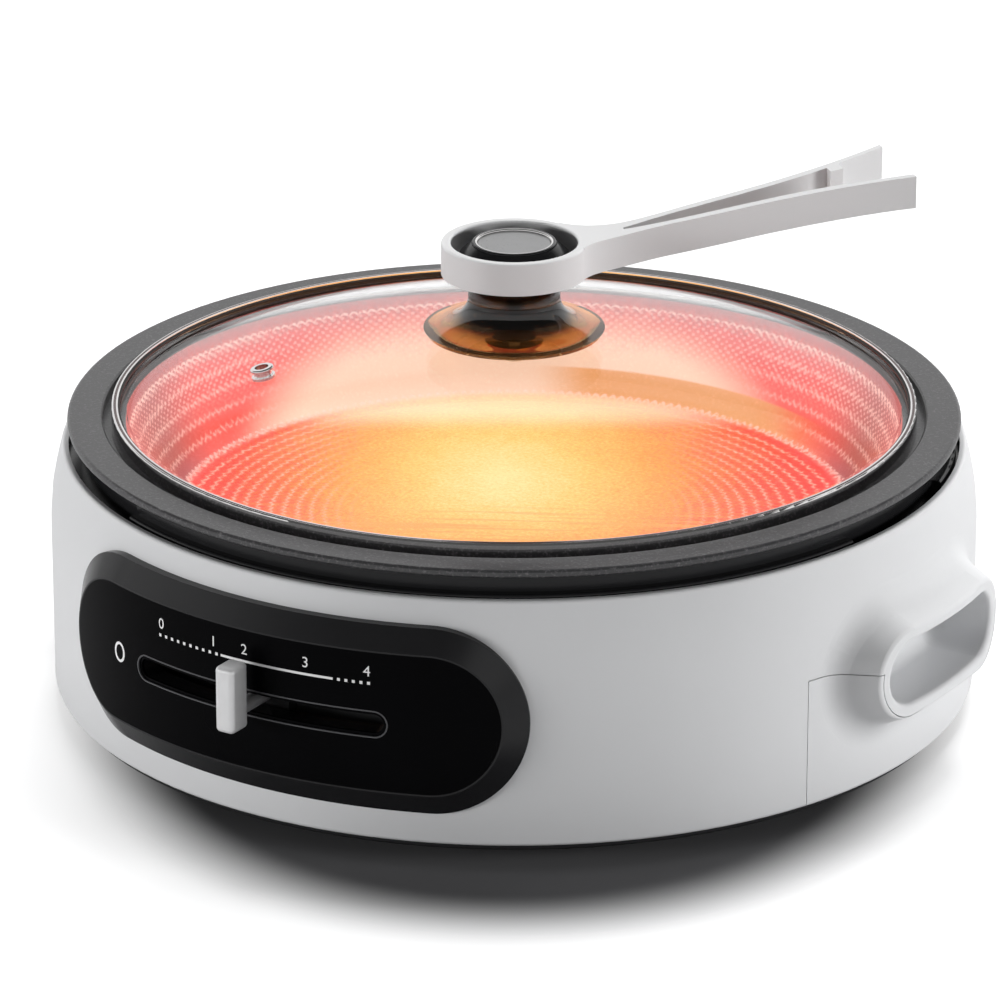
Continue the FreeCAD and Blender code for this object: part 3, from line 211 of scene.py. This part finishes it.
# cloud and grain are the sizes of the soft and the fine variation, in millimetres
plastics = {
    "white_shell": {"colour": (0.74, 0.745, 0.755), "second": (0.77, 0.775, 0.785), "cloud": 45.0,
                    "grain": 0.9, "grainDepth": 0.012, "roughness": 0.36, "sheenSpread": 0.10,
                    "specular": 0.38},
    "lifter_white": {"colour": (0.79, 0.79, 0.795), "second": (0.82, 0.82, 0.825), "cloud": 30.0,
                     "grain": 1.2, "grainDepth": 0.010, "roughness": 0.30, "sheenSpread": 0.08,
                     "specular": 0.5},
    "black_base": {"colour": (0.012, 0.012, 0.013), "second": (0.018, 0.018, 0.019), "cloud": 25.0,
                   "grain": 0.7, "grainDepth": 0.05, "roughness": 0.42, "sheenSpread": 0.12,
                   "specular": 0.4},
    "black_gloss": {"colour": (0.010, 0.010, 0.011), "second": (0.014, 0.014, 0.015), "cloud": 18.0,
                    "grain": 2.5, "grainDepth": 0.006, "roughness": 0.22, "sheenSpread": 0.06,
                    "specular": 0.28},
    "panel_gloss": {"colour": (0.0010, 0.0010, 0.0013), "second": (0.0020, 0.0020, 0.0025), "cloud": 30.0,
                    "grain": 5.0, "grainDepth": 0.003, "roughness": 0.22, "sheenSpread": 0.03,
                    "specular": 0.03},
    "slot_line": {"colour": (0.055, 0.055, 0.06), "second": (0.085, 0.085, 0.09), "cloud": 6.0,
                  "grain": 0.8, "grainDepth": 0.01, "roughness": 0.30, "sheenSpread": 0.05,
                  "specular": 0.5},
    "black_inner": {"colour": (0.014, 0.014, 0.015), "second": (0.022, 0.022, 0.023), "cloud": 12.0,
                    "grain": 0.5, "grainDepth": 0.06, "roughness": 0.50, "sheenSpread": 0.15,
                    "specular": 0.4},
    "brown_inner": {"colour": (0.12, 0.055, 0.025), "second": (0.16, 0.075, 0.035), "cloud": 8.0,
                    "grain": 0.6, "grainDepth": 0.05, "roughness": 0.40, "sheenSpread": 0.10,
                    "specular": 0.5},
    "foot_rubber": {"colour": (0.018, 0.018, 0.018), "second": (0.032, 0.031, 0.030), "cloud": 6.0,
                    "grain": 0.6, "grainDepth": 0.10, "roughness": 0.72, "sheenSpread": 0.15,
                    "specular": 0.3},
    "seal_rubber": {"colour": (0.012, 0.009, 0.009), "second": (0.020, 0.014, 0.014), "cloud": 10.0,
                    "grain": 0.8, "grainDepth": 0.04, "roughness": 0.45, "sheenSpread": 0.10,
                    "specular": 0.4},
    "wire_sleeve": {"colour": (0.35, 0.33, 0.30), "second": (0.45, 0.43, 0.39), "cloud": 5.0,
                    "grain": 0.5, "grainDepth": 0.12, "roughness": 0.65, "sheenSpread": 0.15,
                    "specular": 0.3},
    "white_ceramic": {"colour": (0.70, 0.68, 0.63), "second": (0.78, 0.76, 0.72), "cloud": 4.0,
                      "grain": 0.5, "grainDepth": 0.06, "roughness": 0.35, "sheenSpread": 0.15,
                      "specular": 0.5, "coat": 0.2},
    "mark_white": {"colour": (0.86, 0.86, 0.86), "second": (0.93, 0.93, 0.93), "cloud": 3.0,
                   "grain": 0.4, "grainDepth": 0.01, "roughness": 0.45, "sheenSpread": 0.10,
                   "specular": 0.4},
}


def workedMetal(name, look):
    paint = Paint(name)
    lay = paint.aroundAxis(*look["lay"]) if "lay" in look else None
    grain = paint.noise(look["grain"], detail=4.0, vector=lay)
    cloud = paint.noise(look["cloud"], detail=2.0)
    colour = paint.mix(cloud, look["colour"], look["second"])
    # painted shade: a dark ring between two radii, for the shade in a groove
    if "shadedGroove" in look:
        low, high = look["shadedGroove"]
        r = paint.radius()
        colour = paint.mix((r > low) * (r < high), colour, look["shadedGrooveColour"])
    return paint.finish(Base_Color=colour, Metallic=look["metal"],
                        Roughness=look["roughness"] + swing(grain, look["sheenSpread"]),
                        Normal=paint.bump(grain, look["grainDepth"]))


# lay scales the grain's place round the axis and along it, and the dark ring between two radii is painted
# shade, as in a groove
metals = {
    "rim_steel": {"colour": (0.80, 0.79, 0.78), "second": (0.70, 0.69, 0.69), "metal": 1.0, "grain": 0.6,
                  "lay": (8.0, 1.0), "cloud": 30.0, "roughness": 0.10, "sheenSpread": 0.06,
                  "grainDepth": 0.004, "shadedGroove": (146.9, 147.9), "shadedGrooveColour": (0.10, 0.07, 0.07)},
    "slider_chrome": {"colour": (0.84, 0.84, 0.845), "second": (0.76, 0.76, 0.765), "metal": 0.45,
                      "grain": 0.5, "lay": (900.0, 0.05), "cloud": 5.0, "roughness": 0.30,
                      "sheenSpread": 0.10, "grainDepth": 0.004},
    "knob_chrome": {"colour": (0.85, 0.84, 0.83), "second": (0.78, 0.77, 0.77), "metal": 1.0, "grain": 0.5,
                    "lay": (6.0, 1.0), "cloud": 6.0, "roughness": 0.07, "sheenSpread": 0.04,
                    "grainDepth": 0.002, "shadedGroove": (14.3, 15.9), "shadedGrooveColour": (0.03, 0.03, 0.032)},
    "knob_disc": {"colour": (0.44, 0.44, 0.445), "second": (0.38, 0.38, 0.385), "metal": 1.0, "grain": 0.35,
                  "lay": (0.8, 1.0), "cloud": 9.0, "roughness": 0.30, "sheenSpread": 0.14,
                  "grainDepth": 0.006},
    "screw_steel": {"colour": (0.74, 0.74, 0.75), "second": (0.64, 0.64, 0.65), "metal": 0.45,
                    "grain": 0.4, "cloud": 3.0, "roughness": 0.32, "sheenSpread": 0.15,
                    "grainDepth": 0.01},
    "tube_steel": {"colour": (0.20, 0.18, 0.16), "second": (0.30, 0.24, 0.19), "metal": 1.0, "grain": 1.0,
                   "cloud": 9.0, "roughness": 0.42, "sheenSpread": 0.20, "grainDepth": 0.02},
    "cast_aluminium": {"colour": (0.48, 0.48, 0.49), "second": (0.38, 0.38, 0.39), "metal": 1.0,
                       "grain": 0.8, "cloud": 14.0, "roughness": 0.50, "sheenSpread": 0.20,
                       "grainDepth": 0.08},
    "bright_aluminium": {"colour": (0.78, 0.78, 0.79), "second": (0.66, 0.66, 0.67), "metal": 1.0,
                         "grain": 0.5, "lay": (3.0, 1.0), "cloud": 25.0, "roughness": 0.24,
                         "sheenSpread": 0.12, "grainDepth": 0.01},
    "pin_brass": {"colour": (0.66, 0.49, 0.23), "second": (0.55, 0.40, 0.19), "metal": 1.0, "grain": 0.5,
                  "cloud": 3.0, "roughness": 0.28, "sheenSpread": 0.12, "grainDepth": 0.01},
}


# Lengths are millimetres. Across and away are measured from the pot's axis, along lay and square to it,
# rise goes from 0 at the pan's floor to 1 at the lid's ledge, and a share is how far a colour covers.
# floor and wall below hold the painted glow of the heated inside, with painted reflection and painted shade
# in it
panLook = {
    "dark": (0.036, 0.035, 0.037), "flecks": (0.17, 0.165, 0.17), "roughness": 0.32, "specular": 0.70,
    "fleck": {"size": 1.1, "detail": 5.0, "roughness": 0.65}, "fleckEdges": (0.50, 0.72),
    "fleckShare": 0.55, "fleckSheen": 0.10, "fleckMiddle": 0.3, "fleckDepth": 0.03,
    "coarse": {"size": 5.0, "detail": 3.0}, "coarseShare": 0.5, "coarseDepth": 0.4,
    "ledgeHeight": 105.1, "wallLean": 15.5 / 37.5, "skin": 1.0, "floorMargin": 0.5, "ledgeMargin": 0.3,
    "lay": math.radians(31.8), "wallFrom": (0.01, 0.06),
    "glowStrength": 1.0, "litShare": 0.25, "spill": 0.08,
    "grain": {"size": 1.5, "detail": 4.0, "roughness": 0.7},
    "patch": {"size": 9.0, "detail": 4.0, "roughness": 0.6},
    "floor": {
        "radius": 128.0, "height": 67.6,
        "centre": (-5.0, 36.0), "stretch": 0.62, "grainSpread": 0.60, "patchSpread": 0.18,
        "glow": [(0.0, (0.94, 0.58, 0.22)), (0.24, (0.93, 0.43, 0.075)), (0.46, (0.91, 0.25, 0.015)),
                 (0.64, (0.86, 0.105, 0.008)), (0.80, (0.84, 0.032, 0.006)), (0.95, (0.78, 0.016, 0.008))],
        "paintedReflection": (0.96, 0.84, 0.60), "reflectionAway": (84.0, 112.0), "reflectionAcross": (112.0, 70.0),
        "reflectionShare": 0.50,
        "streak": (0.80, 0.27, 0.03), "streakGrain": (0.010, 0.36), "streakTilt": 0.06,
        "streakEdges": (0.50, 0.60), "streakAway": (20.0, -16.0), "streakShare": 0.75,
        "ring": (1.0, 0.50, 0.36), "ringPitch": 5.0, "scallops": 150.0, "scallopDepth": 1.2,
        "ringFineness": 4.0, "ringBreaks": (0.38, 0.58), "ringSides": (48.0, 88.0), "ringShare": 0.65,
    },
    "wall": {
        "glow": [(0.0, (0.86, 0.045, 0.015)), (0.45, (0.82, 0.035, 0.018)), (0.78, (0.74, 0.030, 0.020)),
                 (0.90, (0.52, 0.035, 0.025)), (1.0, (0.36, 0.030, 0.025))],
        "grainSpread": 0.40, "patchSpread": 0.16, "sideRed": (0.32, 0.030, 0.028), "redBack": (0.20, 0.55),
        "paintedReflection": (0.88, 0.60, 0.42), "reflectionLean": 0.35, "reflectionBack": (0.68, 0.94), "reflectionRise": (0.98, 0.40),
        "reflectionShare": 0.92,
        "line": (1.0, 0.62, 0.52), "scallops": 230.0,
        "netRows": 15.0, "netGrain": 3.0, "netEdges": (0.15, 0.60), "netFrom": (0.35, 0.60),
        "netTo": (0.93, 0.88), "netShare": 0.34,
        "rings": 6.0, "scallopDepth": 0.22, "ringFineness": 6.0, "ringBreaks": (0.36, 0.56),
        "ringSides": (76.0, 112.0), "ringShare": 0.42,
        "band": (0.74, 0.27, 0.055), "bandRise": (0.29, 0.26), "bandAcross": (4.0, 34.0),
        "bandEnd": (122.0, 92.0), "bandShare": 0.88,
        "zigzags": (0.035, 0.875), "zigzagHeight": 0.028, "zigzagWidth": (0.018, 0.006),
        "zigzagBreaks": (0.32, 0.54), "zigzagShare": 0.55,
    },
}


def scalloped(paint, spot, count):              # one bump after another round the pan, from 0 to 1
    return abs(paint.calc("SINE", spot["bearing"] * (count / 2)))


def dottedRings(paint, look, spot, place):      # one ring for each 1 that place grows by, at both sides
    line = (0.5 + paint.calc("SINE", place * fullTurn) * 0.5) ** look["ringFineness"]
    line = line * paint.step(spot["grain"], *look["ringBreaks"])
    return line * paint.step(abs(spot["across"]), *look["ringSides"])


def glowingFloor(paint, look, spot):
    dx = spot["across"] - look["centre"][0]
    dy = (spot["away"] - look["centre"][1]) * look["stretch"]
    reach = (dx * dx + dy * dy) ** 0.5 / look["radius"]
    reach = reach + swing(spot["patch"], look["patchSpread"]) + swing(spot["grain"], look["grainSpread"])
    glow = paint.ramp(reach, look["glow"])

    # painted reflection: a pale cream arc along the back, for the pale light that the lid's glass mirrors
    # there
    reflectedArc = paint.step(spot["away"], *look["reflectionAway"]) * paint.step(abs(spot["across"]), *look["reflectionAcross"])
    glow = paint.mix(reflectedArc * look["reflectionShare"], glow, look["paintedReflection"])

    # long orange streaks across the front
    along, square = look["streakGrain"]
    tilted = spot["away"] + spot["across"] * look["streakTilt"]
    drawn = paint.noise(1.0, detail=2.0, vector=paint.joined(spot["across"] * along, tilted * square))
    streak = paint.step(drawn, *look["streakEdges"])
    streak = streak * paint.step(spot["away"], *look["streakAway"])
    glow = paint.mix(streak * look["streakShare"], glow, look["streak"])

    # dotted scalloped rings
    rings = spot["r"] + scalloped(paint, spot, look["scallops"]) * look["scallopDepth"]
    line = dottedRings(paint, look, spot, rings / look["ringPitch"])
    return paint.mix(line * look["ringShare"], glow, look["ring"])


def glowingWall(paint, look, spot):
    rise = spot["rise"]
    rough = rise + swing(spot["grain"], look["grainSpread"]) + swing(spot["patch"], look["patchSpread"])
    back = spot["away"] / spot["r"]             # 1 straight behind the axis, 0 at both sides
    colour = paint.mix(paint.step(back, *look["redBack"]), look["sideRed"], paint.ramp(rough, look["glow"]))
    # painted reflection: a pale cream patch on the lower back wall, for the pale light that the lid's glass
    # mirrors there
    reflected = paint.step(back + (0.5 - rise) * look["reflectionLean"], *look["reflectionBack"])
    reflected = reflected * paint.step(rough, *look["reflectionRise"])
    colour = paint.mix(reflected * look["reflectionShare"], colour, look["paintedReflection"])

    # a net of fine dots over the upper wall, and rings that go on up both sides
    rows = paint.calc("SINE", rise * (look["netRows"] * fullTurn))
    turns = paint.calc("SINE", spot["bearing"] * look["scallops"])
    net = paint.step(rows * turns + swing(spot["grain"], look["netGrain"]), *look["netEdges"])
    net = net * paint.step(rise, *look["netFrom"]) * paint.step(rise, *look["netTo"])
    colour = paint.mix(net * look["netShare"], colour, look["line"])
    scallop = scalloped(paint, spot, look["scallops"])
    line = dottedRings(paint, look, spot, rise * look["rings"] + scallop * look["scallopDepth"])
    colour = paint.mix(line * look["ringShare"], colour, look["line"])

    # painted shade: the brown band low at one side, where the wall lies in shadow; and two zigzag lines
    band = paint.step(rise, *look["bandRise"]) * paint.step(spot["across"], *look["bandAcross"])
    band = band * paint.step(spot["across"], *look["bandEnd"])
    colour = paint.mix(band * look["bandShare"], colour, look["band"])
    for height in look["zigzags"]:
        off = abs(rise - height - swing(scallop, look["zigzagHeight"]))
        drawn = paint.step(off, *look["zigzagWidth"]) * paint.step(spot["grain"], *look["zigzagBreaks"])
        colour = paint.mix(drawn * look["zigzagShare"], colour, look["line"])
    return colour


def nonStickPan(name, look):
    paint = Paint(name)
    r = paint.radius()
    z = paint.axes()[2]
    across, away = paint.acrossAway(look["lay"])
    fleck = paint.step(paint.noise(**look["fleck"]), *look["fleckEdges"])
    coarse = paint.noise(**look["coarse"])
    flecked = fleck * (look["fleckShare"] + coarse * look["coarseShare"])
    coating = paint.mix(flecked, look["dark"], look["flecks"])

    # the heated inside: a painted glow, whose colour is given off as light and also tints the base colour
    floorHeight = look["floor"]["height"]
    wallRadius = look["floor"]["radius"] + look["skin"] + (z - floorHeight) * look["wallLean"]
    inside = (r < wallRadius) * (z > floorHeight - look["floorMargin"])
    inside = inside * (z < look["ledgeHeight"] - look["ledgeMargin"])
    spot = {"r": r, "bearing": paint.bearing(), "across": across, "away": away,
            "rise": (z - floorHeight) / (look["ledgeHeight"] - floorHeight),
            "grain": paint.noise(**look["grain"]), "patch": paint.noise(**look["patch"])}
    paintedGlow = paint.mix(paint.step(spot["rise"], *look["wallFrom"]), glowingFloor(paint, look["floor"], spot),
                     glowingWall(paint, look["wall"], spot))

    # the light that the glow throws on other pieces is dimmed to its spill
    bounced = paint.rays("Diffuse Depth") > 0.5
    shown = inside * (1.0 - bounced * (1.0 - look["spill"]))
    return paint.finish(Base_Color=paint.mix(inside * look["litShare"], coating, paintedGlow),
                        Roughness=look["roughness"] + (fleck - look["fleckMiddle"]) * look["fleckSheen"],
                        Specular_IOR_Level=look["specular"],
                        Emission_Color=paint.mix(shown, black, paintedGlow),
                        Emission_Strength=look["glowStrength"],
                        Normal=paint.bump(fleck + coarse * look["coarseDepth"], look["fleckDepth"]))


glassLook = {"tint": (0.985, 0.985, 0.985), "ior": 1.14, "roughness": 0.0, "rippleSize": 60.0,
             "rippleDepth": 0.02}


def clearGlass(name, look):                     # lets shadow rays straight through
    paint = Paint(name)
    ripple = paint.noise(look["rippleSize"], detail=1.0)
    paint.finish(Base_Color=look["tint"], Roughness=look["roughness"], IOR=look["ior"],
                 Transmission_Weight=1.0, Normal=paint.bump(ripple, look["rippleDepth"]))
    clear = paint.node("ShaderNodeBsdfTransparent")
    both = paint.node("ShaderNodeMixShader", None,
                      {0: paint.rays("Is Shadow Ray"), 1: paint.shader.outputs[0], 2: clear.outputs[0]})
    paint.plug(paint.tree.nodes["Material Output"].inputs["Surface"], both.outputs[0])
    return paint.material


smokeLook = {"neck": (0.012, 0.008, 0.006), "amber": (0.62, 0.31, 0.10), "edge": (0.80, 0.50, 0.24),
             "neckEnd": (18.5, 25.5), "edgeStart": (26.0, 33.0), "swirlSize": 7.0, "swirlSpread": 2.0,
             "roughness": 0.04, "ior": 1.49, "transmission": 0.9, "coat": 0.1, "coatRoughness": 0.03,
             "rippleSize": 9.0, "rippleDepth": 0.02}


def smokedPlastic(name, look):                  # near black at the neck, amber below and paler at the edge
    paint = Paint(name)
    r = paint.radius() + swing(paint.noise(look["swirlSize"], detail=2.0), look["swirlSpread"])
    amber = paint.mix(paint.step(r, *look["edgeStart"]), look["amber"], look["edge"])
    colour = paint.mix(paint.step(r, *look["neckEnd"]), look["neck"], amber)
    ripple = paint.noise(look["rippleSize"], detail=1.0)
    return paint.finish(Base_Color=colour, Roughness=look["roughness"], IOR=look["ior"],
                        Transmission_Weight=look["transmission"], Coat_Weight=look["coat"],
                        Coat_Roughness=look["coatRoughness"],
                        Normal=paint.bump(ripple, look["rippleDepth"]))


# every solid takes the finish of its slot in the record
finishes = {slot: mouldedPlastic(slot, look) for slot, look in plastics.items()}
finishes.update({slot: workedMetal(slot, look) for slot, look in metals.items()})
finishes["pan_coating"] = nonStickPan("pan_coating", panLook)
finishes["lid_glass"] = clearGlass("lid_glass", glassLook)
finishes["knob_smoke"] = smokedPlastic("knob_smoke", smokeLook)

for part in frame["record"]["subparts"]:
    solid = frame["nodes"][part["node"]]
    solid.data.materials.clear()
    solid.data.materials.append(finishes[part["material_slot"]])
print("finishes:", len(finishes))


def placed(name, data):                         # a new object in the scene
    made = bpy.data.objects.new(name, data)
    bpy.context.scene.collection.objects.link(made)
    return made


def meshObject(name, mesh):
    data = bpy.data.meshes.new(name)
    mesh.to_mesh(data)
    mesh.free()
    return placed(name, data)


# millimetres, with angles in degrees round the panel from its middle
scaleLook = {
    "radius": 177.2, "height": 55.1, "proud": 0.05, "foot": 0.005,
    "lineRise": 14.4, "lineWidth": 0.9, "line": (-3.8, 10.9), "linePieces": 24,
    "dotSize": 1.1, "lowDots": (-13.2, -4.4, 10), "highDots": (11.6, 15.2, 5),
    "numbers": {"0": -13.0, "1": -4.85, "2": -0.5, "3": 7.5, "4": 15.0},
    "numberRise": 17.0, "numberSize": 5.6,
    "offAngle": -20.9, "offRise": 0.5, "offWidth": 6.2, "offHeight": 7.8, "offLine": 1.0, "offPoints": 32,
}


def wrapped(along, up, out, look):              # flat millimetres to the panel's curved face
    turn = math.radians(-90) + along / look["radius"]
    r = look["radius"] + out
    return Vector((r * math.cos(turn), r * math.sin(turn), look["height"] + up)) * mm


def arcAlong(degrees, look):
    return math.radians(degrees) * look["radius"]


def printedPiece(name, mesh):
    piece = meshObject(name, mesh)
    piece.data.materials.append(finishes["mark_white"])
    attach(piece, "base")


def printedShape(name, outlines, look):            # pairs of an outer outline and an inner one or None
    mesh = bmesh.new()
    for outer, inner in outlines:
        top = [mesh.verts.new(wrapped(u, v, look["proud"], look)) for u, v in outer]
        low = [mesh.verts.new(wrapped(u, v, look["foot"], look)) for u, v in outer]
        count = len(outer)
        for i in range(count):
            k = (i + 1) % count
            mesh.faces.new((low[i], low[k], top[k], top[i]))
        if inner is None:
            mesh.faces.new(top)
            continue
        innerTop = [mesh.verts.new(wrapped(u, v, look["proud"], look)) for u, v in inner]
        for i in range(count):
            k = (i + 1) % count
            mesh.faces.new((top[i], top[k], innerTop[k], innerTop[i]))
    printedPiece(name, mesh)


def oval(u, v, width, height, count):
    steps = [fullTurn * i / count for i in range(count)]
    return [(u + width / 2 * math.cos(a), v + height / 2 * math.sin(a)) for a in steps]


def bar(low, high, v, width):
    return [(low, v - width / 2), (high, v - width / 2), (high, v + width / 2), (low, v + width / 2)]


def scaleMarks(look):
    outlines = []
    for low, high, count in (look["lowDots"], look["highDots"]):
        for i in range(count):
            u = arcAlong(low + (high - low) * i / (count - 1), look)
            dot = bar(u - look["dotSize"] / 2, u + look["dotSize"] / 2, look["lineRise"], look["dotSize"])
            outlines.append((dot, None))
    start, end = [arcAlong(angle, look) for angle in look["line"]]
    stretch = (end - start) / look["linePieces"]        # short pieces follow the curved face
    for i in range(look["linePieces"]):
        piece = bar(start + stretch * i, start + stretch * (i + 1), look["lineRise"], look["lineWidth"])
        outlines.append((piece, None))
    printedShape("scale_line", outlines, look)


def offMark(look):
    u = arcAlong(look["offAngle"], look)
    inset = 2 * look["offLine"]
    outer = oval(u, look["offRise"], look["offWidth"], look["offHeight"], look["offPoints"])
    inner = oval(u, look["offRise"], look["offWidth"] - inset, look["offHeight"] - inset, look["offPoints"])
    printedShape("off_mark", [(outer, inner)], look)


def scaleNumbers(look):
    for digit, angle in look["numbers"].items():
        curve = bpy.data.curves.new("number_" + digit, "FONT")
        curve.body = digit
        curve.align_x = "CENTER"
        curve.size = look["numberSize"]
        flat = placed("flat_number", curve)
        bpy.context.view_layer.update()
        data = bpy.data.meshes.new_from_object(flat.evaluated_get(bpy.context.evaluated_depsgraph_get()))
        bpy.data.objects.remove(flat)
        mesh = bmesh.new()
        mesh.from_mesh(data)
        bpy.data.meshes.remove(data)
        middle = arcAlong(angle, look)
        for vert in mesh.verts:
            vert.co = wrapped(vert.co.x + middle, vert.co.y + look["numberRise"], look["proud"], look)
        bmesh.ops.recalc_face_normals(mesh, faces=mesh.faces)
        printedPiece("scale_number_" + digit, mesh)


scaleMarks(scaleLook)
offMark(scaleLook)
scaleNumbers(scaleLook)
print("printed scale")


def towards(bearing, rise):                     # direction: bearing from the pot's front, rise from level
    turn = math.radians(bearing)
    lift = math.radians(rise)
    return Vector((math.sin(turn) * math.cos(lift), -math.cos(turn) * math.cos(lift), math.sin(lift)))


def pointAt(thing, place, aim):
    thing.location = place
    thing.rotation_euler = (aim - place).to_track_quat("-Z", "Y").to_euler()


# the floor's size is in metres, and the painted shadow under the pot in millimetres
stageLook = {"size": 14.0, "colour": (0.56, 0.56, 0.565), "second": (0.54, 0.54, 0.545), "cloud": 120.0,
             "roughness": 0.9, "specular": 0.1, "paintedShadow": (0.16, 0.16, 0.165),
             "lay": math.radians(31.8), "shadowShift": 30.0, "shadowNarrow": 1.25,
             "shadowFade": (164.0, 214.0), "backdrop": 0.66, "inGloss": 0.3}


def paleFloor(look):
    mesh = bmesh.new()
    bmesh.ops.create_grid(mesh, x_segments=2, y_segments=2, size=look["size"] / 2)
    floor = meshObject("floor", mesh)
    paint = Paint("floor")
    # painted shadow: the floor's colour goes dark near the pot, reaching furthest in front of it
    across, away = paint.acrossAway(look["lay"])
    across = across * look["shadowNarrow"]
    away = away + look["shadowShift"]
    clear = paint.step((across * across + away * away) ** 0.5, *look["shadowFade"])
    colour = paint.mix(paint.noise(look["cloud"], detail=2.0), look["colour"], look["second"])
    colour = paint.mix(clear, look["paintedShadow"], colour)
    seen = paint.rays("Is Camera Ray") + paint.rays("Is Transmission Ray")
    seen = seen + paint.rays("Is Glossy Ray") * look["inGloss"]
    seen = paint.calc("MINIMUM", seen, 1.0)
    floor.data.materials.append(paint.finish(
        Base_Color=colour, Roughness=look["roughness"], Specular_IOR_Level=look["specular"],
        # the backdrop's glow is left out where the painted shadow lies
        Emission_Color=paint.mix(seen * clear, black, white), Emission_Strength=look["backdrop"]))


# softboxes: bearing from the pot's front and rise in degrees, the rest in metres and watts
lamps = {
    "key": {"bearing": 200.0, "rise": 60.0, "far": 5.0, "size": (2.8, 2.0), "power": 240.0},
    "right": {"bearing": 108.0, "rise": 6.0, "far": 2.4, "size": (0.8, 0.5), "power": 37.0},
    "left": {"bearing": -36.0, "rise": 6.0, "far": 2.4, "size": (0.8, 0.5), "power": 29.0},
    "back": {"bearing": 208.0, "rise": 14.0, "far": 2.8, "size": (3.0, 1.2), "power": 12.0},
    "fill": {"bearing": 17.0, "rise": 6.0, "far": 2.4, "size": (0.8, 0.5), "power": 2.5},
}
lampAim = Vector((0, 0, 0.08))


def softLights():                               # gloss and glass show the world's belt, and not the lamps
    for name, look in lamps.items():
        light = bpy.data.lights.new(name, "AREA")
        light.shape = "RECTANGLE"
        light.size, light.size_y = look["size"]
        light.energy = look["power"]
        lamp = placed(name, light)
        pointAt(lamp, lampAim + towards(look["bearing"], look["rise"]) * look["far"], lampAim)
        lamp.visible_glossy = False
        lamp.visible_transmission = False


# the world's strengths; the edges are heights of a direction, from 0 at level to 1 straight up
worldLook = {"ambient": 0.05, "camera": 1.0, "seen": 1.0, "low": 0.70, "lowEdge": (0.0, 0.16),
             "above": 0.10, "edge": (0.44, 0.47)}


def studioWorld(look):                          # gloss sees a bright belt, darker under and above it
    world = bpy.data.worlds.new("studio")
    bpy.context.scene.world = world
    world.use_nodes = True
    sky = Nodes(world.node_tree)
    height = sky.split(sky.node("ShaderNodeTexCoord").outputs["Generated"])[2]
    belt = sky.calc("MINIMUM", sky.slope(height, look["lowEdge"], (look["low"], look["seen"])),
                    sky.slope(height, look["edge"], (look["seen"], look["above"])))
    lit = look["ambient"] + (belt - look["ambient"]) * sky.rays("Is Glossy Ray")
    lit = lit + (look["seen"] - lit) * sky.rays("Is Transmission Ray")
    lit = lit + (look["camera"] - lit) * sky.rays("Is Camera Ray")
    background = sky.tree.nodes["Background"]
    sky.plug(background.inputs["Strength"], lit)
    sky.plug(background.inputs["Color"], (*white, 1))


# bearing and rise in degrees, the lens and its sensor in millimetres, the rest in metres
cameraLook = {"bearing": 31.8, "rise": 20.26, "distance": 2.475, "target": (0, 0, 0.1096), "lens": 241.0,
              "sensor": 36.0, "aside": -0.0052, "below": -0.0346}


def studioCamera(look):
    back = towards(look["bearing"], look["rise"])
    right = Vector((0, 0, 1)).cross(back).normalized()
    up = back.cross(right)
    target = Vector(look["target"])
    data = bpy.data.cameras.new("camera")
    data.lens = look["lens"]
    data.sensor_width = look["sensor"]
    camera = placed("camera", data)
    pointAt(camera, target + back * look["distance"], target + right * look["aside"] + up * look["below"])
    bpy.context.scene.camera = camera


paleFloor(stageLook)
softLights()
studioWorld(worldLook)
studioCamera(cameraLook)
bpy.context.scene.view_settings.view_transform = "Standard"
print("stage, lights and camera")
